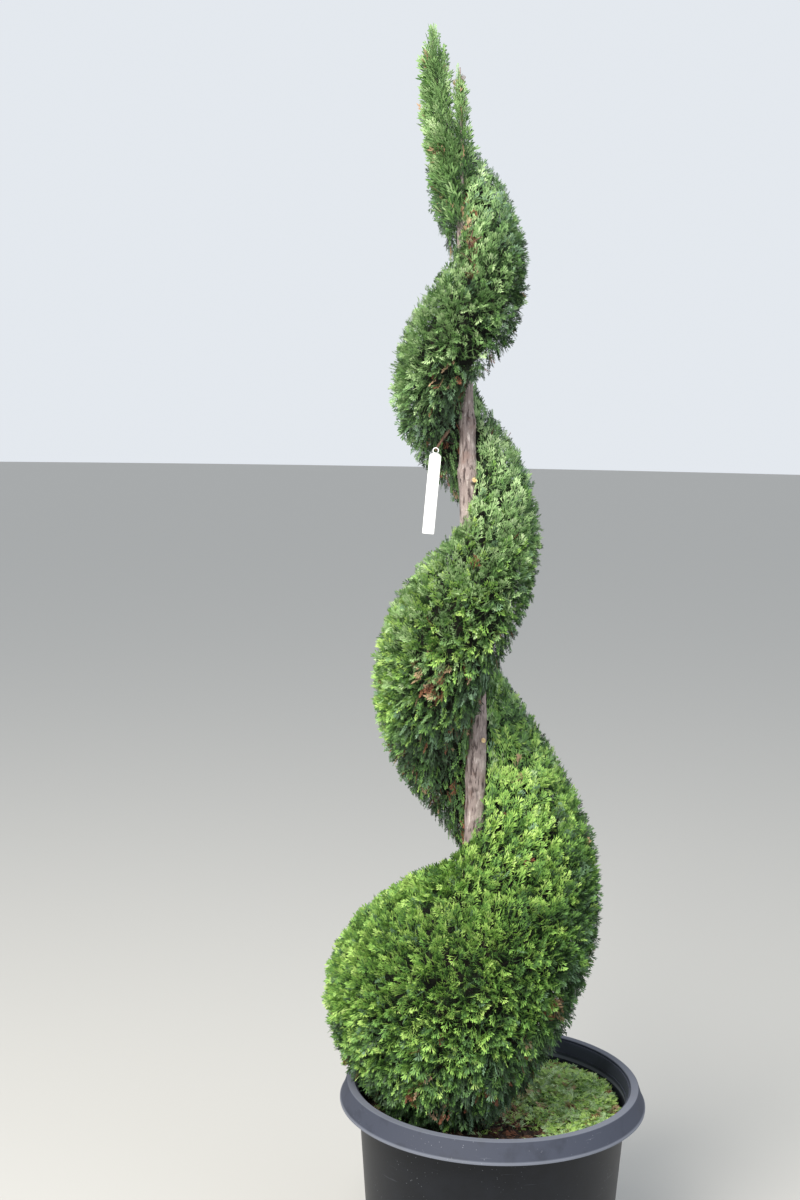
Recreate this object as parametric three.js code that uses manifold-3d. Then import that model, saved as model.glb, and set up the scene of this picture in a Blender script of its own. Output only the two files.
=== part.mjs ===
// Spiral topiary: an evergreen clipped into one rising spiral round its bare trunk, in a black nursery pot.
// Millimetres, +Z up. The origin is the centre of the pot's flat underside, and the front faces -Y.
import * as THREE from "three";
import { mergeVertices } from "three/addons/utils/BufferGeometryUtils.js";
import Module from "manifold-3d";

const wasm = await Module();
wasm.setup();

const CLEARANCE = 0.3;

// Pot: an upright tapering wall under a wide sloping skirt
const POT_HEIGHT = 386;
const POT_BASE_R = 205;
const POT_SHOULDER_R = 236;
const POT_MOUTH_R = 241;
const POT_WALL = 4;
const POT_FLOOR = 6;
const POT_SIDES = 40;
const SKIRT_TOP_R = 255.5;
const SKIRT_LIP_R = 267;
const SKIRT_DROP = 34;
const BASE_STEP_Z = 30;
const MOUTH_STEPS = 3;
const MOUTH_STEP_HEIGHT = 12;
const NOTCH_COUNT = 6;
const NOTCH_SIZE = 25;
const NOTCH_FIRST_DEG = -95;

// Potting mix, level round the trunk, with a heap of clippings at the right
const SOIL_Z = 340;
const SOIL_EDGE_DROP = 8;
const SOIL_LEVEL_R = 90;
const HEAP_HEIGHT = 14;
const HEAP_AT = [150, 70];
const HEAP_R = 75;

// Trunk stations: height, sideways place of its centre, radius
const TRUNK_STATIONS = [
  [340, -30, 25],
  [600, -42, 20],
  [830, -40, 17.2],
  [1060, -43, 16.2],
  [1420, -63, 14.6],
  [1510, -68, 11.6],
  [1850, -84, 7.4],
  [1911, -95, 6.3],
  [1975, -109, 5.2],
  [2040, -120, 3.8],
  [2150, -138, 1.8],
];
const TRUNK_TIP_Z = 2150;
const TRUNK_SIDES = 12;
const TRUNK_RING_STEP = 90;
const PLAIN_RINGS_ABOVE_SOIL = 120;
const LAST_RING_BELOW_TIP = 20;
const TRUNK_SWAY = 6;
const TRUNK_SWAY_LENGTH = 240;
const FLARE = 8;
const FLARE_HEIGHT = 45;
const FLARE_LOBES = 5;
const FLARE_LOBE_SHARE = 0.3;
const FLARE_RINGS = [15, 35, 70];
const COLLARS = [1445, 1530];
const COLLAR_SWELL = 2.6;
const COLLAR_HEIGHT = 13;

// Pruned stubs: height, azimuth in degrees
const STUBS = [
  [985, -62],
  [1428, -70],
  [1854, -48],
];
const STUB_REACH = 24;
const STUB_R = 4.2;
const STUB_SIDES = 7;
const STUB_RISE = 0.35;
const STUB_FOOT_R = 5.7;

// Second leader, a thin bough beside the tip
const SECOND_LEADER_FOOT_Z = 1890;
const SECOND_LEADER_TIP_Z = 2106;
const SECOND_LEADER_AZIMUTH = -25;
const SECOND_LEADER_SPREAD = 42;
const SECOND_LEADER_BEND = 0.6;
const SECOND_LEADER_R = 3.2;
const SECOND_LEADER_TAPER = 0.65;
const SECOND_LEADER_STEPS = 5;
const SECOND_LEADER_SIDES = 6;

// Spiral band stations: turn, height of the middle, rise above it, drop below it, reach from the trunk,
// crest that climbs the trunk above it, undercut beside the trunk below it.
// Turn 0 faces the front, and the band climbs anticlockwise seen from above.
const BAND_STATIONS = [
  [-0.52, 512, 230, 262, 274, 0, 0],
  [-0.25, 539, 208, 261, 253, 32, 0],
  [0.0, 584, 246, 277, 245, 8, 0],
  [0.25, 741, 215, 254, 216, 10, 5],
  [0.5, 942, 232, 231, 211, 19, 20],
  [0.75, 1082, 222, 203, 172, 12, 33],
  [1.0, 1213, 182, 175, 136, 0, 12],
  [1.25, 1353, 162, 140, 114, 0, 27],
  [1.5, 1481, 137, 139, 128, 0, 25],
  [1.75, 1587, 144, 143, 122, 0, 40],
  [2.0, 1688, 150, 144, 124, 0, 58],
  [2.25, 1798, 166, 160, 102, 0, 24],
  [2.4, 1854, 144, 140, 104, 0, 27],
  [2.5, 1891, 96, 138, 80, 0, 20],
  [2.78, 1950, 34, 92, 42, 0, 0],
];
const [MIDDLE, RISE, DROP, REACH, CREST, UNDERCUT] = [1, 2, 3, 4, 5, 6];

// Axis that the band climbs round: the trunk, but straighter than the leader at the top
const BAND_AXIS = [...TRUNK_STATIONS.slice(0, 7), [2000, -101], [2150, -121]];
const BAND_START = -0.52;
const BAND_END = 2.78;
const CREST_SHARPNESS = 6;
const NOSE_TURNS = 0.2;
const NOSE_SECTION = -0.5;
const FIRST_SEAM = -0.375;
const SEAM_STEP = 0.25;
const SHORTEST_MASS = 0.1;
const LOWEST_LEAF_Z = 349;
const RIM_CLEARANCE = 6;
const RIM_RISE_R = [195, 232];
const SEAM_GAP = 1;

// Clipped face: a dense core with flat sprays standing out of it, larger where the spiral is wider
const CORE_INSET = 3;
const CORE_INSET_PER_REACH = 0.012;
const CORE_SECTIONS_PER_TURN = 16;
const CORE_LIFTS = 9;
const CORE_LEAST_OUT = 2;
const CORE_TRUNK_SHARES = [0.2, 0.4, 0.6, 0.8];
const SPRAY_SIZE = 34;
const SPRAY_SIZE_PER_REACH = 0.17;
const SPRAY_SPACING = 1.27;
const SPRAY_SUNK = 12;
const SPRAY_OUT = 6;
const SPRAY_TRAVEL = 0.72;
const SPRAY_WIDTH = 0.84;
const SPRAY_THICKNESS = 3.4;
const SPRAY_ROWS_SHARE = 0.94;
const SPRAY_JITTER = 0.3;
const SPRAY_LIFT_JITTER = 0.12;
const SPRAY_TURN_JITTER = 0.02;
const SPRAY_ROLL = 1.1;
const HIGHEST_TIP_LIFT = 1.5;
const DROOP_BELOW = -0.45;
const SPREAD_ABOVE = 0.85;
const SPREAD_LOWERING = 0.1;
const SPREAD_MOST_TURNS = 0.05;
const INSET_OVER_FLOOR = 0.6;
const LIMB_MARGIN = 0.4;

// Tuft of long loose sprays round the tip, reaching down the front between the last masses
// Tuft stations: height, sideways place of its middle, radius
const TUFT_STATIONS = [
  [1830, -98, 17],
  [1895, -108, 30],
  [1960, -116, 31],
  [2023, -128, 32],
  [2087, -133, 26],
  [2125, -135, 22],
  [2150, -137, 11],
  [2178, -139, 3],
];
const TUFT_TOP_Z = 2178;
const TUFT_FROM_TURN = 2.1;
const TUFT_Z = [1896, 2163];
const TUFT_FRONT_Z = [1890, 1990];
const TUFT_FRONT_AZIMUTHS = [190, 306];
const TUFT_FRONT_SPRAYS = 11;
const TUFT_ROUND_Z = [1952, 2166];
const TUFT_ROUND_SPRAYS = 38;
const TUFT_SLEEVE = 5;
const TUFT_SLEEVE_STEP = 32;
const TUFT_SLEEVE_SIDES = 8;
const TUFT_SLEEVE_TAPER = 0.7;
const TUFT_BLADE_RISE = [30, 56];
const TUFT_BLADE_WIDTH = 0.6;
const TUFT_BLADE_ROLL = 1.5;
const TUFT_BLADE_ROOT = 2;
const TUFT_ENDS = [10, 12];
const GOLDEN_SHARE = 0.618;
const SIDE_TUFT_Z = [1972, 2116];
const SIDE_TUFT_AZIMUTHS = [-150, 90];
const SIDE_TUFT_R = 15;
const SIDE_TUFT_SPRAYS = 14;
const SIDE_TUFT_SLEEVE = 3.5;

// Blank plant label, hung by its loop on a bare twig under the third turn
const LABEL_WIDTH = 19.5;
const LABEL_LENGTH = 134;
const LABEL_THICKNESS = 0.9;
const LABEL_TILT_DEG = 4.3;
const LABEL_HANG = [-121, -45, 1486];
const LABEL_LOOP_R = 4.4;
const LABEL_LOOP_WIRE = 0.9;
const LABEL_TWIG_R = 1.7;
const LABEL_TWIG_ELBOW = 9;
const LABEL_TWIG_END = 8;
const LABEL_TWIG_ROOT = [-98, -18, 1520];
const LABEL_TWIG_SIDES = 6;
const LABEL_BEARER = "foliage_3_left";

const [MASS_SEED, TIP_SEED, SIDE_SEED] = [11, 71, 72];

// Outline of one side of a spray blade: distance along it, half width, both as shares of its size
const BLADE_SIDE = [
  [0.42, 0.5],
  [0.53, 0.22],
  [0.7, 0.37],
  [0.79, 0.14],
];
const BLADE_CENTRE = 0.55;

// Colours and surfaces
function finish(color, roughness, metalness = 0) {
  return new THREE.MeshStandardMaterial({ color, roughness, metalness });
}
const BLACK_PLASTIC = finish("#3b3f47", 0.55);
const DARK_MIX = finish("#4a3b2c", 0.95);
const GREY_BARK = finish("#8d7a6e", 0.85);
const CLIPPED_GREEN = finish("#5e7a35", 0.8);
const TUFT_GREEN = finish("#6a8a3c", 0.8);
const WHITE_LABEL = finish("#e9ebe8", 0.5);

const radians = THREE.MathUtils.degToRad;

// Seeded random numbers from 0 to 1
function randomFrom(seed) {
  let state = seed >>> 0;
  return () => {
    state = (state + 0x6d2b79f5) >>> 0;
    let t = Math.imul(state ^ (state >>> 15), 1 | state);
    t = (t + Math.imul(t ^ (t >>> 7), 61 | t)) ^ t;
    return ((t ^ (t >>> 14)) >>> 0) / 4294967296;
  };
}

// Smooth curve through one column of a station table
function along(stations, column, at) {
  const last = stations.length - 1;
  const x = THREE.MathUtils.clamp(at, stations[0][0], stations[last][0]);
  let i = 0;
  while (i < last - 1 && stations[i + 1][0] < x) i += 1;
  const slope = (k) => {
    const a = stations[Math.max(0, k - 1)];
    const b = stations[Math.min(last, k + 1)];
    return (b[column] - a[column]) / (b[0] - a[0]);
  };
  const step = stations[i + 1][0] - stations[i][0];
  const t = (x - stations[i][0]) / step;
  const t2 = t * t;
  const t3 = t2 * t;
  return (
    (2 * t3 - 3 * t2 + 1) * stations[i][column] +
    (t3 - 2 * t2 + t) * step * slope(i) +
    (3 * t2 - 2 * t3) * stations[i + 1][column] +
    (t3 - t2) * step * slope(i + 1)
  );
}

// Closed solid from points and triangles, turned so that its faces point out
function solidFrom(points, triangles) {
  const volume = triangles.reduce((sum, [a, b, c]) => {
    const cross = points[b].clone().cross(points[c]);
    return sum + points[a].dot(cross);
  }, 0);
  const faces = volume < 0 ? triangles.map(([a, b, c]) => [a, c, b]) : triangles;
  return new wasm.Manifold(
    new wasm.Mesh({
      numProp: 3,
      vertProperties: new Float32Array(points.flatMap((p) => p.toArray())),
      triVerts: new Uint32Array(faces.flat()),
    }),
  );
}

// Closed solid from a three.js geometry
function solidOf(geometry) {
  geometry.deleteAttribute("normal");
  geometry.deleteAttribute("uv");
  const merged = mergeVertices(geometry, 1e-3);
  return new wasm.Manifold(
    new wasm.Mesh({
      numProp: 3,
      vertProperties: new Float32Array(merged.attributes.position.array),
      triVerts: new Uint32Array(merged.index.array),
    }),
  );
}

// Largest body of a solid, without loose scraps or sealed hollows
function oneBody(solid) {
  return solid.decompose().reduce((a, b) => (b.volume() > a.volume() ? b : a));
}

function meshOf(name, solid, material) {
  const { numProp, vertProperties, triVerts } = solid.getMesh();
  const positions = new Float32Array((vertProperties.length / numProp) * 3);
  for (let i = 0; i < positions.length / 3; i += 1) {
    positions.set(vertProperties.subarray(i * numProp, i * numProp + 3), i * 3);
  }
  const geometry = new THREE.BufferGeometry();
  geometry.setAttribute("position", new THREE.BufferAttribute(positions, 3));
  geometry.setIndex(new THREE.BufferAttribute(new Uint32Array(triVerts), 1));
  geometry.computeVertexNormals();
  const mesh = new THREE.Mesh(geometry, material);
  mesh.name = name;
  return mesh;
}

// Rings of points joined into a closed tube with flat ends
function loft(rings) {
  const sides = rings[0].length;
  const points = rings.flat();
  const triangles = [];
  for (let r = 0; r < rings.length - 1; r += 1) {
    for (let s = 0; s < sides; s += 1) {
      const a = r * sides + s;
      const b = r * sides + ((s + 1) % sides);
      triangles.push([a, b, b + sides], [a, b + sides, a + sides]);
    }
  }
  const top = (rings.length - 1) * sides;
  for (let s = 1; s < sides - 1; s += 1) {
    triangles.push([0, s + 1, s], [top, top + s, top + s + 1]);
  }
  return solidFrom(points, triangles);
}

// Ring of points round a centre, level or square to an axis
function ringRound(centre, radiusAt, sides, axis = new THREE.Vector3(0, 0, 1)) {
  const turn = new THREE.Quaternion().setFromUnitVectors(new THREE.Vector3(0, 0, 1), axis);
  return Array.from({ length: sides }, (_, i) => {
    const a = (2 * Math.PI * i) / sides;
    const out = new THREE.Vector3(Math.cos(a), Math.sin(a), 0).multiplyScalar(radiusAt(a));
    return out.applyQuaternion(turn).add(centre);
  });
}

// Tapering limb through a list of points, with one radius at each
function limb(path, radii, sides) {
  const rings = path.map((point, i) => {
    const before = path[Math.max(0, i - 1)];
    const after = path[Math.min(path.length - 1, i + 1)];
    const axis = after.clone().sub(before).normalize();
    return ringRound(point, () => radii[i], sides, axis);
  });
  return loft(rings);
}

// Pot

// Inner radius of the plain part of the pot's wall
function potInnerR(z) {
  return POT_BASE_R - POT_WALL + ((POT_SHOULDER_R - POT_BASE_R) * z) / POT_HEIGHT;
}

function lathe(outline) {
  const points = outline.map(([r, z]) => new THREE.Vector2(r, z));
  const geometry = new THREE.LatheGeometry(points, POT_SIDES);
  geometry.rotateX(Math.PI / 2);
  const solid = solidOf(geometry);
  return solid.volume() < 0 ? solidOf(geometry.scale(1, -1, 1)) : solid;
}

function potOutline() {
  const stepsFoot = POT_HEIGHT - MOUTH_STEPS * MOUTH_STEP_HEIGHT;
  const treads = (POT_MOUTH_R - potInnerR(stepsFoot)) / MOUTH_STEPS;
  const inside = [];
  for (let k = MOUTH_STEPS; k > 0; k -= 1) {
    const z = stepsFoot + k * MOUTH_STEP_HEIGHT;
    const r = potInnerR(stepsFoot) + k * treads;
    inside.push([r, z], [r, z - MOUTH_STEP_HEIGHT]);
  }
  const lipZ = POT_HEIGHT - SKIRT_DROP;
  return [
    [0, 0],
    [POT_BASE_R, 0],
    [POT_BASE_R + 2.5, BASE_STEP_Z],
    [POT_BASE_R + 4, BASE_STEP_Z + 2],
    [POT_SHOULDER_R, POT_HEIGHT - POT_WALL - 6],
    [POT_SHOULDER_R + 2, POT_HEIGHT - POT_WALL],
    [SKIRT_TOP_R - POT_WALL, POT_HEIGHT - POT_WALL],
    [SKIRT_LIP_R - POT_WALL - 1, lipZ + 5],
    [SKIRT_LIP_R - POT_WALL - 1, lipZ],
    [SKIRT_LIP_R, lipZ],
    [SKIRT_LIP_R, lipZ + 5],
    [SKIRT_TOP_R, POT_HEIGHT - 1],
    [SKIRT_TOP_R - 1, POT_HEIGHT],
    ...inside,
    [potInnerR(stepsFoot), stepsFoot],
    [potInnerR(POT_FLOOR), POT_FLOOR],
    [0, POT_FLOOR],
  ].filter(([r, z], i, all) => i === 0 || r !== all[i - 1][0] || z !== all[i - 1][1]);
}

function makePot() {
  let pot = lathe(potOutline());
  for (let k = 0; k < NOTCH_COUNT; k += 1) {
    const a = radians(NOTCH_FIRST_DEG + (360 * k) / NOTCH_COUNT);
    const notch = new THREE.BoxGeometry(NOTCH_SIZE, NOTCH_SIZE, 2 * NOTCH_SIZE);
    notch.rotateZ(a);
    notch.translate(POT_BASE_R * Math.cos(a), POT_BASE_R * Math.sin(a), 0);
    pot = pot.subtract(solidOf(notch));
  }
  return pot;
}

// Height that the heap of clippings adds to the soil
function heapAt(x, y) {
  const away = Math.hypot(x - HEAP_AT[0], y - HEAP_AT[1]) / HEAP_R;
  return HEAP_HEIGHT * Math.exp(-away * away);
}

function makeMix() {
  const edgeZ = SOIL_Z - SOIL_EDGE_DROP;
  const rings = [0.8, 0.6].map((share) => {
    const r = share * potInnerR(edgeZ);
    return [r, SOIL_Z - SOIL_EDGE_DROP * share * share * 0.6];
  });
  const foot = POT_FLOOR + CLEARANCE;
  const points = [
    [0, foot],
    [potInnerR(foot) - 2 * CLEARANCE, foot],
    [potInnerR(edgeZ) - 2 * CLEARANCE, edgeZ],
    ...rings,
    [SOIL_LEVEL_R, SOIL_Z],
    [0, SOIL_Z],
  ].map(([r, z]) => new THREE.Vector2(r, z));
  const geometry = new THREE.LatheGeometry(points, POT_SIDES);
  geometry.rotateX(Math.PI / 2);
  const place = geometry.attributes.position;
  for (let i = 0; i < place.count; i += 1) {
    const [x, y, z] = [place.getX(i), place.getY(i), place.getZ(i)];
    const r = Math.hypot(x, y);
    if (z > SOIL_Z - SOIL_EDGE_DROP && r > SOIL_LEVEL_R + 1) place.setZ(i, z + heapAt(x, y));
  }
  return solidOf(geometry);
}

// Trunk

function axisPoint(stations, z) {
  const sway = TRUNK_SWAY * Math.sin((z - SOIL_Z) / TRUNK_SWAY_LENGTH);
  return new THREE.Vector3(along(stations, 1, z), sway, z);
}

function trunkCentre(z) {
  return axisPoint(TRUNK_STATIONS, z);
}

function trunkR(z) {
  const collars = COLLARS.map((at) => Math.exp(-(((z - at) / COLLAR_HEIGHT) ** 2)));
  return along(TRUNK_STATIONS, 2, z) + COLLAR_SWELL * (collars[0] + collars[1]);
}

function flareAt(z, a) {
  const fade = Math.exp(-(z - SOIL_Z) / FLARE_HEIGHT);
  return FLARE * fade * (1 + FLARE_LOBE_SHARE * Math.cos(FLARE_LOBES * a));
}

function trunkSkin(grown) {
  const heights = COLLARS.flatMap((z) => [z - COLLAR_HEIGHT, z, z + COLLAR_HEIGHT]);
  heights.push(SOIL_Z + CLEARANCE - grown, TRUNK_TIP_Z + grown, ...FLARE_RINGS.map((up) => SOIL_Z + up));
  const lastRingZ = TRUNK_TIP_Z - LAST_RING_BELOW_TIP;
  for (let z = SOIL_Z + PLAIN_RINGS_ABOVE_SOIL; z < lastRingZ; z += TRUNK_RING_STEP) {
    if (heights.every((other) => Math.abs(other - z) > COLLAR_HEIGHT)) heights.push(z);
  }
  heights.sort((a, b) => a - b);
  const rings = heights.map((z) =>
    ringRound(trunkCentre(z), (a) => trunkR(z) + flareAt(z, a) + grown, TRUNK_SIDES),
  );
  return loft(rings);
}

function stub([height, azimuth], grown) {
  const a = radians(azimuth);
  const foot = trunkCentre(height);
  const away = new THREE.Vector3(Math.cos(a), Math.sin(a), STUB_RISE);
  const tip = foot.clone().addScaledVector(away, STUB_REACH + grown);
  return limb([foot, tip], [STUB_FOOT_R + grown, STUB_R + grown], STUB_SIDES);
}

// Trunk with its pruned stubs, grown by a clearance where it cuts the foliage
function trunkSolid(grown) {
  const stubs = STUBS.map((place) => stub(place, grown));
  return oneBody(wasm.Manifold.union([trunkSkin(grown), ...stubs]));
}

function secondLeaderShare(z) {
  return THREE.MathUtils.inverseLerp(SECOND_LEADER_FOOT_Z, SECOND_LEADER_TIP_Z, z);
}

function secondLeaderCentre(z) {
  const out = SECOND_LEADER_SPREAD * Math.max(0, secondLeaderShare(z)) ** SECOND_LEADER_BEND;
  return trunkCentre(z).addScaledVector(outwards(radians(SECOND_LEADER_AZIMUTH)), out);
}

function secondLeaderR(z) {
  return SECOND_LEADER_R * (1 - SECOND_LEADER_TAPER * secondLeaderShare(z));
}

function secondLeader(grown) {
  const heights = Array.from({ length: SECOND_LEADER_STEPS + 1 }, (_, k) =>
    THREE.MathUtils.lerp(SECOND_LEADER_FOOT_Z, SECOND_LEADER_TIP_Z, k / SECOND_LEADER_STEPS),
  );
  const radii = heights.map((z) => secondLeaderR(z) + grown);
  return limb(heights.map(secondLeaderCentre), radii, SECOND_LEADER_SIDES);
}

// Spiral band

function azimuthOf(turn) {
  return 2 * Math.PI * turn - Math.PI / 2;
}

// Share of the full section, rounded off to nothing where the band begins
function noseShare(turn) {
  const t = THREE.MathUtils.clamp((turn - BAND_START) / NOSE_TURNS, 0, 1);
  return Math.sqrt(1 - (1 - t) ** 2);
}

function coreInset(turn) {
  return CORE_INSET + CORE_INSET_PER_REACH * along(BAND_STATIONS, REACH, turn);
}

// Lowest height that foliage reaches, over the soil and over the pot's rim
function lowestLeafAt({ x, y }) {
  const overRim = THREE.MathUtils.smoothstep(Math.hypot(x, y), ...RIM_RISE_R);
  return THREE.MathUtils.lerp(LOWEST_LEAF_Z, POT_HEIGHT + RIM_CLEARANCE, overRim);
}

// Point on the clipped face, or the given depth under it; lift runs from -90 degrees below to 90 above
function bandPoint(turn, lift, inset) {
  const share = noseShare(turn);
  const reach = share * (along(BAND_STATIONS, REACH, turn) - inset);
  const half = share * (along(BAND_STATIONS, lift > 0 ? RISE : DROP, turn) - inset);
  const middle = along(BAND_STATIONS, MIDDLE, turn);
  const besideTrunk = along(BAND_STATIONS, lift > 0 ? CREST : UNDERCUT, turn);
  const out = Math.max(CORE_LEAST_OUT, reach * Math.cos(lift));
  const raised = share * besideTrunk * Math.sin(lift) ** CREST_SHARPNESS;
  const z = middle + half * Math.sin(lift) + raised;
  const point = axisPoint(BAND_AXIS, z).addScaledVector(outwards(azimuthOf(turn)), out);
  point.z = Math.max(point.z, lowestLeafAt(point) + inset * INSET_OVER_FLOOR);
  return point;
}

function bandNormal(turn, lift, inset) {
  const step = 0.004;
  const alongBand = bandPoint(turn + step, lift, inset).sub(bandPoint(turn - step, lift, inset));
  const acrossBand = bandPoint(turn, lift + step, inset).sub(bandPoint(turn, lift - step, inset));
  return alongBand.cross(acrossBand).normalize();
}

function outwards(azimuth) {
  return new THREE.Vector3(Math.cos(azimuth), Math.sin(azimuth), 0);
}

function sideways(azimuth) {
  return new THREE.Vector3(-Math.sin(azimuth), Math.cos(azimuth), 0);
}

// Section of the core: from its outermost point up, down along the trunk, and back out
function coreSection(turn) {
  const lifts = Array.from({ length: CORE_LIFTS + 1 }, (_, j) => Math.PI * (j / CORE_LIFTS - 0.5));
  const face = lifts.map((lift) => bandPoint(turn, lift, coreInset(turn)));
  const besideTrunk = CORE_TRUNK_SHARES.map((share) => {
    const z = THREE.MathUtils.lerp(face[CORE_LIFTS].z, face[0].z, share);
    return axisPoint(BAND_AXIS, z).addScaledVector(outwards(azimuthOf(turn)), CORE_LEAST_OUT);
  });
  const outermost = Math.ceil(CORE_LIFTS / 2);
  return [...face.slice(outermost), ...besideTrunk, ...face.slice(0, outermost)];
}

// Core of one mass: a wedge of the band, from a fan of sections round the trunk
function bandCore(from, to) {
  const count = Math.max(2, Math.round((to - from) * CORE_SECTIONS_PER_TURN));
  const outlines = [];
  for (let k = 0; k <= count; k += 1) {
    const turn = THREE.MathUtils.lerp(from, to, k / count);
    const shift = sideways(azimuthOf(turn)).multiplyScalar(SEAM_GAP * (0.5 - k / count));
    outlines.push(coreSection(turn).map((point) => point.add(shift)));
  }
  return loft(outlines);
}

// Flat toothed spray from a sunk root to its tip
function blade(root, tip, side, width) {
  const axis = tip.clone().sub(root);
  const across = side.clone().addScaledVector(axis, -side.dot(axis) / axis.lengthSq()).normalize();
  const out = axis.clone().normalize().cross(across).multiplyScalar(SPRAY_THICKNESS / 2);
  const at = (t, w) => root.clone().addScaledVector(axis, t).addScaledVector(across, w * width);
  const outline = [
    root.clone(),
    ...BLADE_SIDE.map(([t, w]) => at(t, w)),
    tip.clone(),
    ...BLADE_SIDE.toReversed().map(([t, w]) => at(t, -w)),
  ];
  const rim = outline.length;
  const centre = at(BLADE_CENTRE, 0);
  const points = [...outline, centre.clone().add(out), centre.clone().sub(out)];
  const triangles = [];
  for (let i = 0; i < rim; i += 1) {
    const next = (i + 1) % rim;
    triangles.push([i, next, rim], [next, i, rim + 1]);
  }
  return { points, solid: solidFrom(points, triangles) };
}

// True where every point lies between two azimuths and above a height
function inSpace(points, space) {
  const [from, to] = space.azimuths.map(sideways);
  return points.every((p) => {
    const out = p.clone().sub(axisPoint(BAND_AXIS, p.z));
    return out.dot(from) > SEAM_GAP && out.dot(to) < -SEAM_GAP && p.z > space.lowest;
  });
}

// Core with every spray that fits in its space and stays clear of the solids kept free
function addSprays(core, blades, fits, kept) {
  const grown = blades.filter(({ points, solid }) => fits(points) && solid.intersect(kept).isEmpty());
  return oneBody(wasm.Manifold.union([core, ...grown.map(({ solid }) => solid)]));
}

function spraySize(turn) {
  return SPRAY_SIZE + SPRAY_SIZE_PER_REACH * along(BAND_STATIONS, REACH, turn);
}

// Spray that lies over the core like a shingle, with its tip on the clipped face
function bandBlade(turn, lift, random) {
  const reach = noseShare(turn) * along(BAND_STATIONS, REACH, turn);
  const half = noseShare(turn) * along(BAND_STATIONS, RISE, turn);
  const travel = SPRAY_TRAVEL * spraySize(turn);
  let tipLift = lift + (travel * Math.SQRT2) / Math.hypot(reach, half);
  let tipTurn = turn + SPRAY_TURN_JITTER * (random() - 0.5);
  if (lift < DROOP_BELOW) tipLift = 2 * lift - tipLift;
  if (lift > SPREAD_ABOVE) {
    tipLift = lift - SPREAD_LOWERING * random();
    tipTurn = turn + Math.min(SPREAD_MOST_TURNS, travel / (2 * Math.PI * reach * Math.cos(lift)));
  }
  tipLift = THREE.MathUtils.clamp(tipLift, -HIGHEST_TIP_LIFT, HIGHEST_TIP_LIFT);
  const root = bandPoint(turn, lift, coreInset(turn) + SPRAY_SUNK);
  const tip = bandPoint(tipTurn, tipLift, -SPRAY_OUT);
  const axis = tip.clone().sub(root).normalize();
  const side = axis.clone().cross(bandNormal(turn, lift, 0)).normalize();
  side.applyAxisAngle(axis, SPRAY_ROLL * (random() - 0.5));
  return blade(root, tip, side, SPRAY_WIDTH * spraySize(turn));
}

// Sprays in rows along the band, evenly spaced on the core's face
function bandBlades(from, to, random) {
  const middle = (from + to) / 2;
  const spacing = SPRAY_SPACING * spraySize(middle);
  const reach = noseShare(middle) * along(BAND_STATIONS, REACH, middle);
  const half = noseShare(middle) * along(BAND_STATIONS, RISE, middle);
  const rows = Math.round((Math.PI * Math.hypot(reach, half)) / Math.SQRT2 / spacing);
  const blades = [];
  for (let row = 0; row < rows; row += 1) {
    const lift = Math.PI * ((row + 0.5) / rows - 0.5) * SPRAY_ROWS_SHARE;
    const length = (to - from) * 2 * Math.PI * reach * Math.cos(lift);
    const count = Math.max(1, Math.round(length / spacing));
    for (let k = 0; k < count; k += 1) {
      const turn = from + ((to - from) * (k + 0.5 + SPRAY_JITTER * (random() - 0.5))) / count;
      blades.push(bandBlade(turn, lift + SPRAY_LIFT_JITTER * (random() - 0.5), random));
    }
  }
  return blades;
}

function bandMass(from, to, seed, kept, pot, extra) {
  const core = bandCore(from, to);
  const space = { azimuths: [azimuthOf(from), azimuthOf(to)], lowest: LOWEST_LEAF_Z - 2 };
  const blades = bandBlades(from, to, randomFrom(seed));
  const body = wasm.Manifold.union([core.subtract(kept), ...extra]);
  return addSprays(body, blades, (points) => inSpace(points, space), kept.add(pot));
}

// Tuft

// Point on the outer face of the tuft round the tip
function tuftPoint(z, azimuth) {
  const middle = new THREE.Vector3(along(TUFT_STATIONS, 1, z), 0, Math.min(z, TUFT_TOP_Z));
  return middle.addScaledVector(outwards(azimuth), along(TUFT_STATIONS, 2, z));
}

// Point on the outer face of the slim tuft beside it
function sideTuftPoint(z, azimuth) {
  const low = Math.min(z, SIDE_TUFT_Z[1]);
  return secondLeaderCentre(low).addScaledVector(outwards(azimuth), SIDE_TUFT_R);
}

// Long sprays that rise from a leader to the tuft's face
function tuftBlades(leader, heights, azimuths, count, random) {
  const blades = [];
  const [shortest, longest] = TUFT_BLADE_RISE;
  for (let k = 0; k < count; k += 1) {
    const a = THREE.MathUtils.lerp(azimuths[0], azimuths[1], (k * GOLDEN_SHARE + 0.1) % 1);
    const [low, high] = [heights[0] + TUFT_ENDS[0], heights[1] - TUFT_ENDS[1]];
    const rootZ = THREE.MathUtils.lerp(low, high, k / (count - 1));
    const tipZ = rootZ + THREE.MathUtils.lerp(shortest, longest, random());
    const rootR = leader.radius(rootZ) + TUFT_BLADE_ROOT;
    const root = leader.centre(rootZ).addScaledVector(outwards(a), rootR);
    const tip = leader.face(tipZ, a);
    const axis = tip.clone().sub(root).normalize();
    const side = new THREE.Vector3(0, 0, 1).applyAxisAngle(axis, TUFT_BLADE_ROLL * (random() - 0.5));
    blades.push(blade(root, tip, side, TUFT_BLADE_WIDTH * tip.distanceTo(root)));
  }
  return blades;
}

// Sleeve of close scaly growth all round a leader, closed over its tip
function tuftSleeve(leader, grown) {
  const [low, high] = leader.heights;
  const steps = Math.round((high - low) / TUFT_SLEEVE_STEP);
  const rings = [];
  for (let k = 0; k <= steps; k += 1) {
    const t = k / steps;
    const z = THREE.MathUtils.lerp(low - grown, high + grown, t);
    const r = leader.radius(z) + leader.sleeve * (1 - TUFT_SLEEVE_TAPER * t * t) + grown;
    rings.push(ringRound(leader.centre(z), () => r, TUFT_SLEEVE_SIDES));
  }
  return loft(rings);
}

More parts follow.
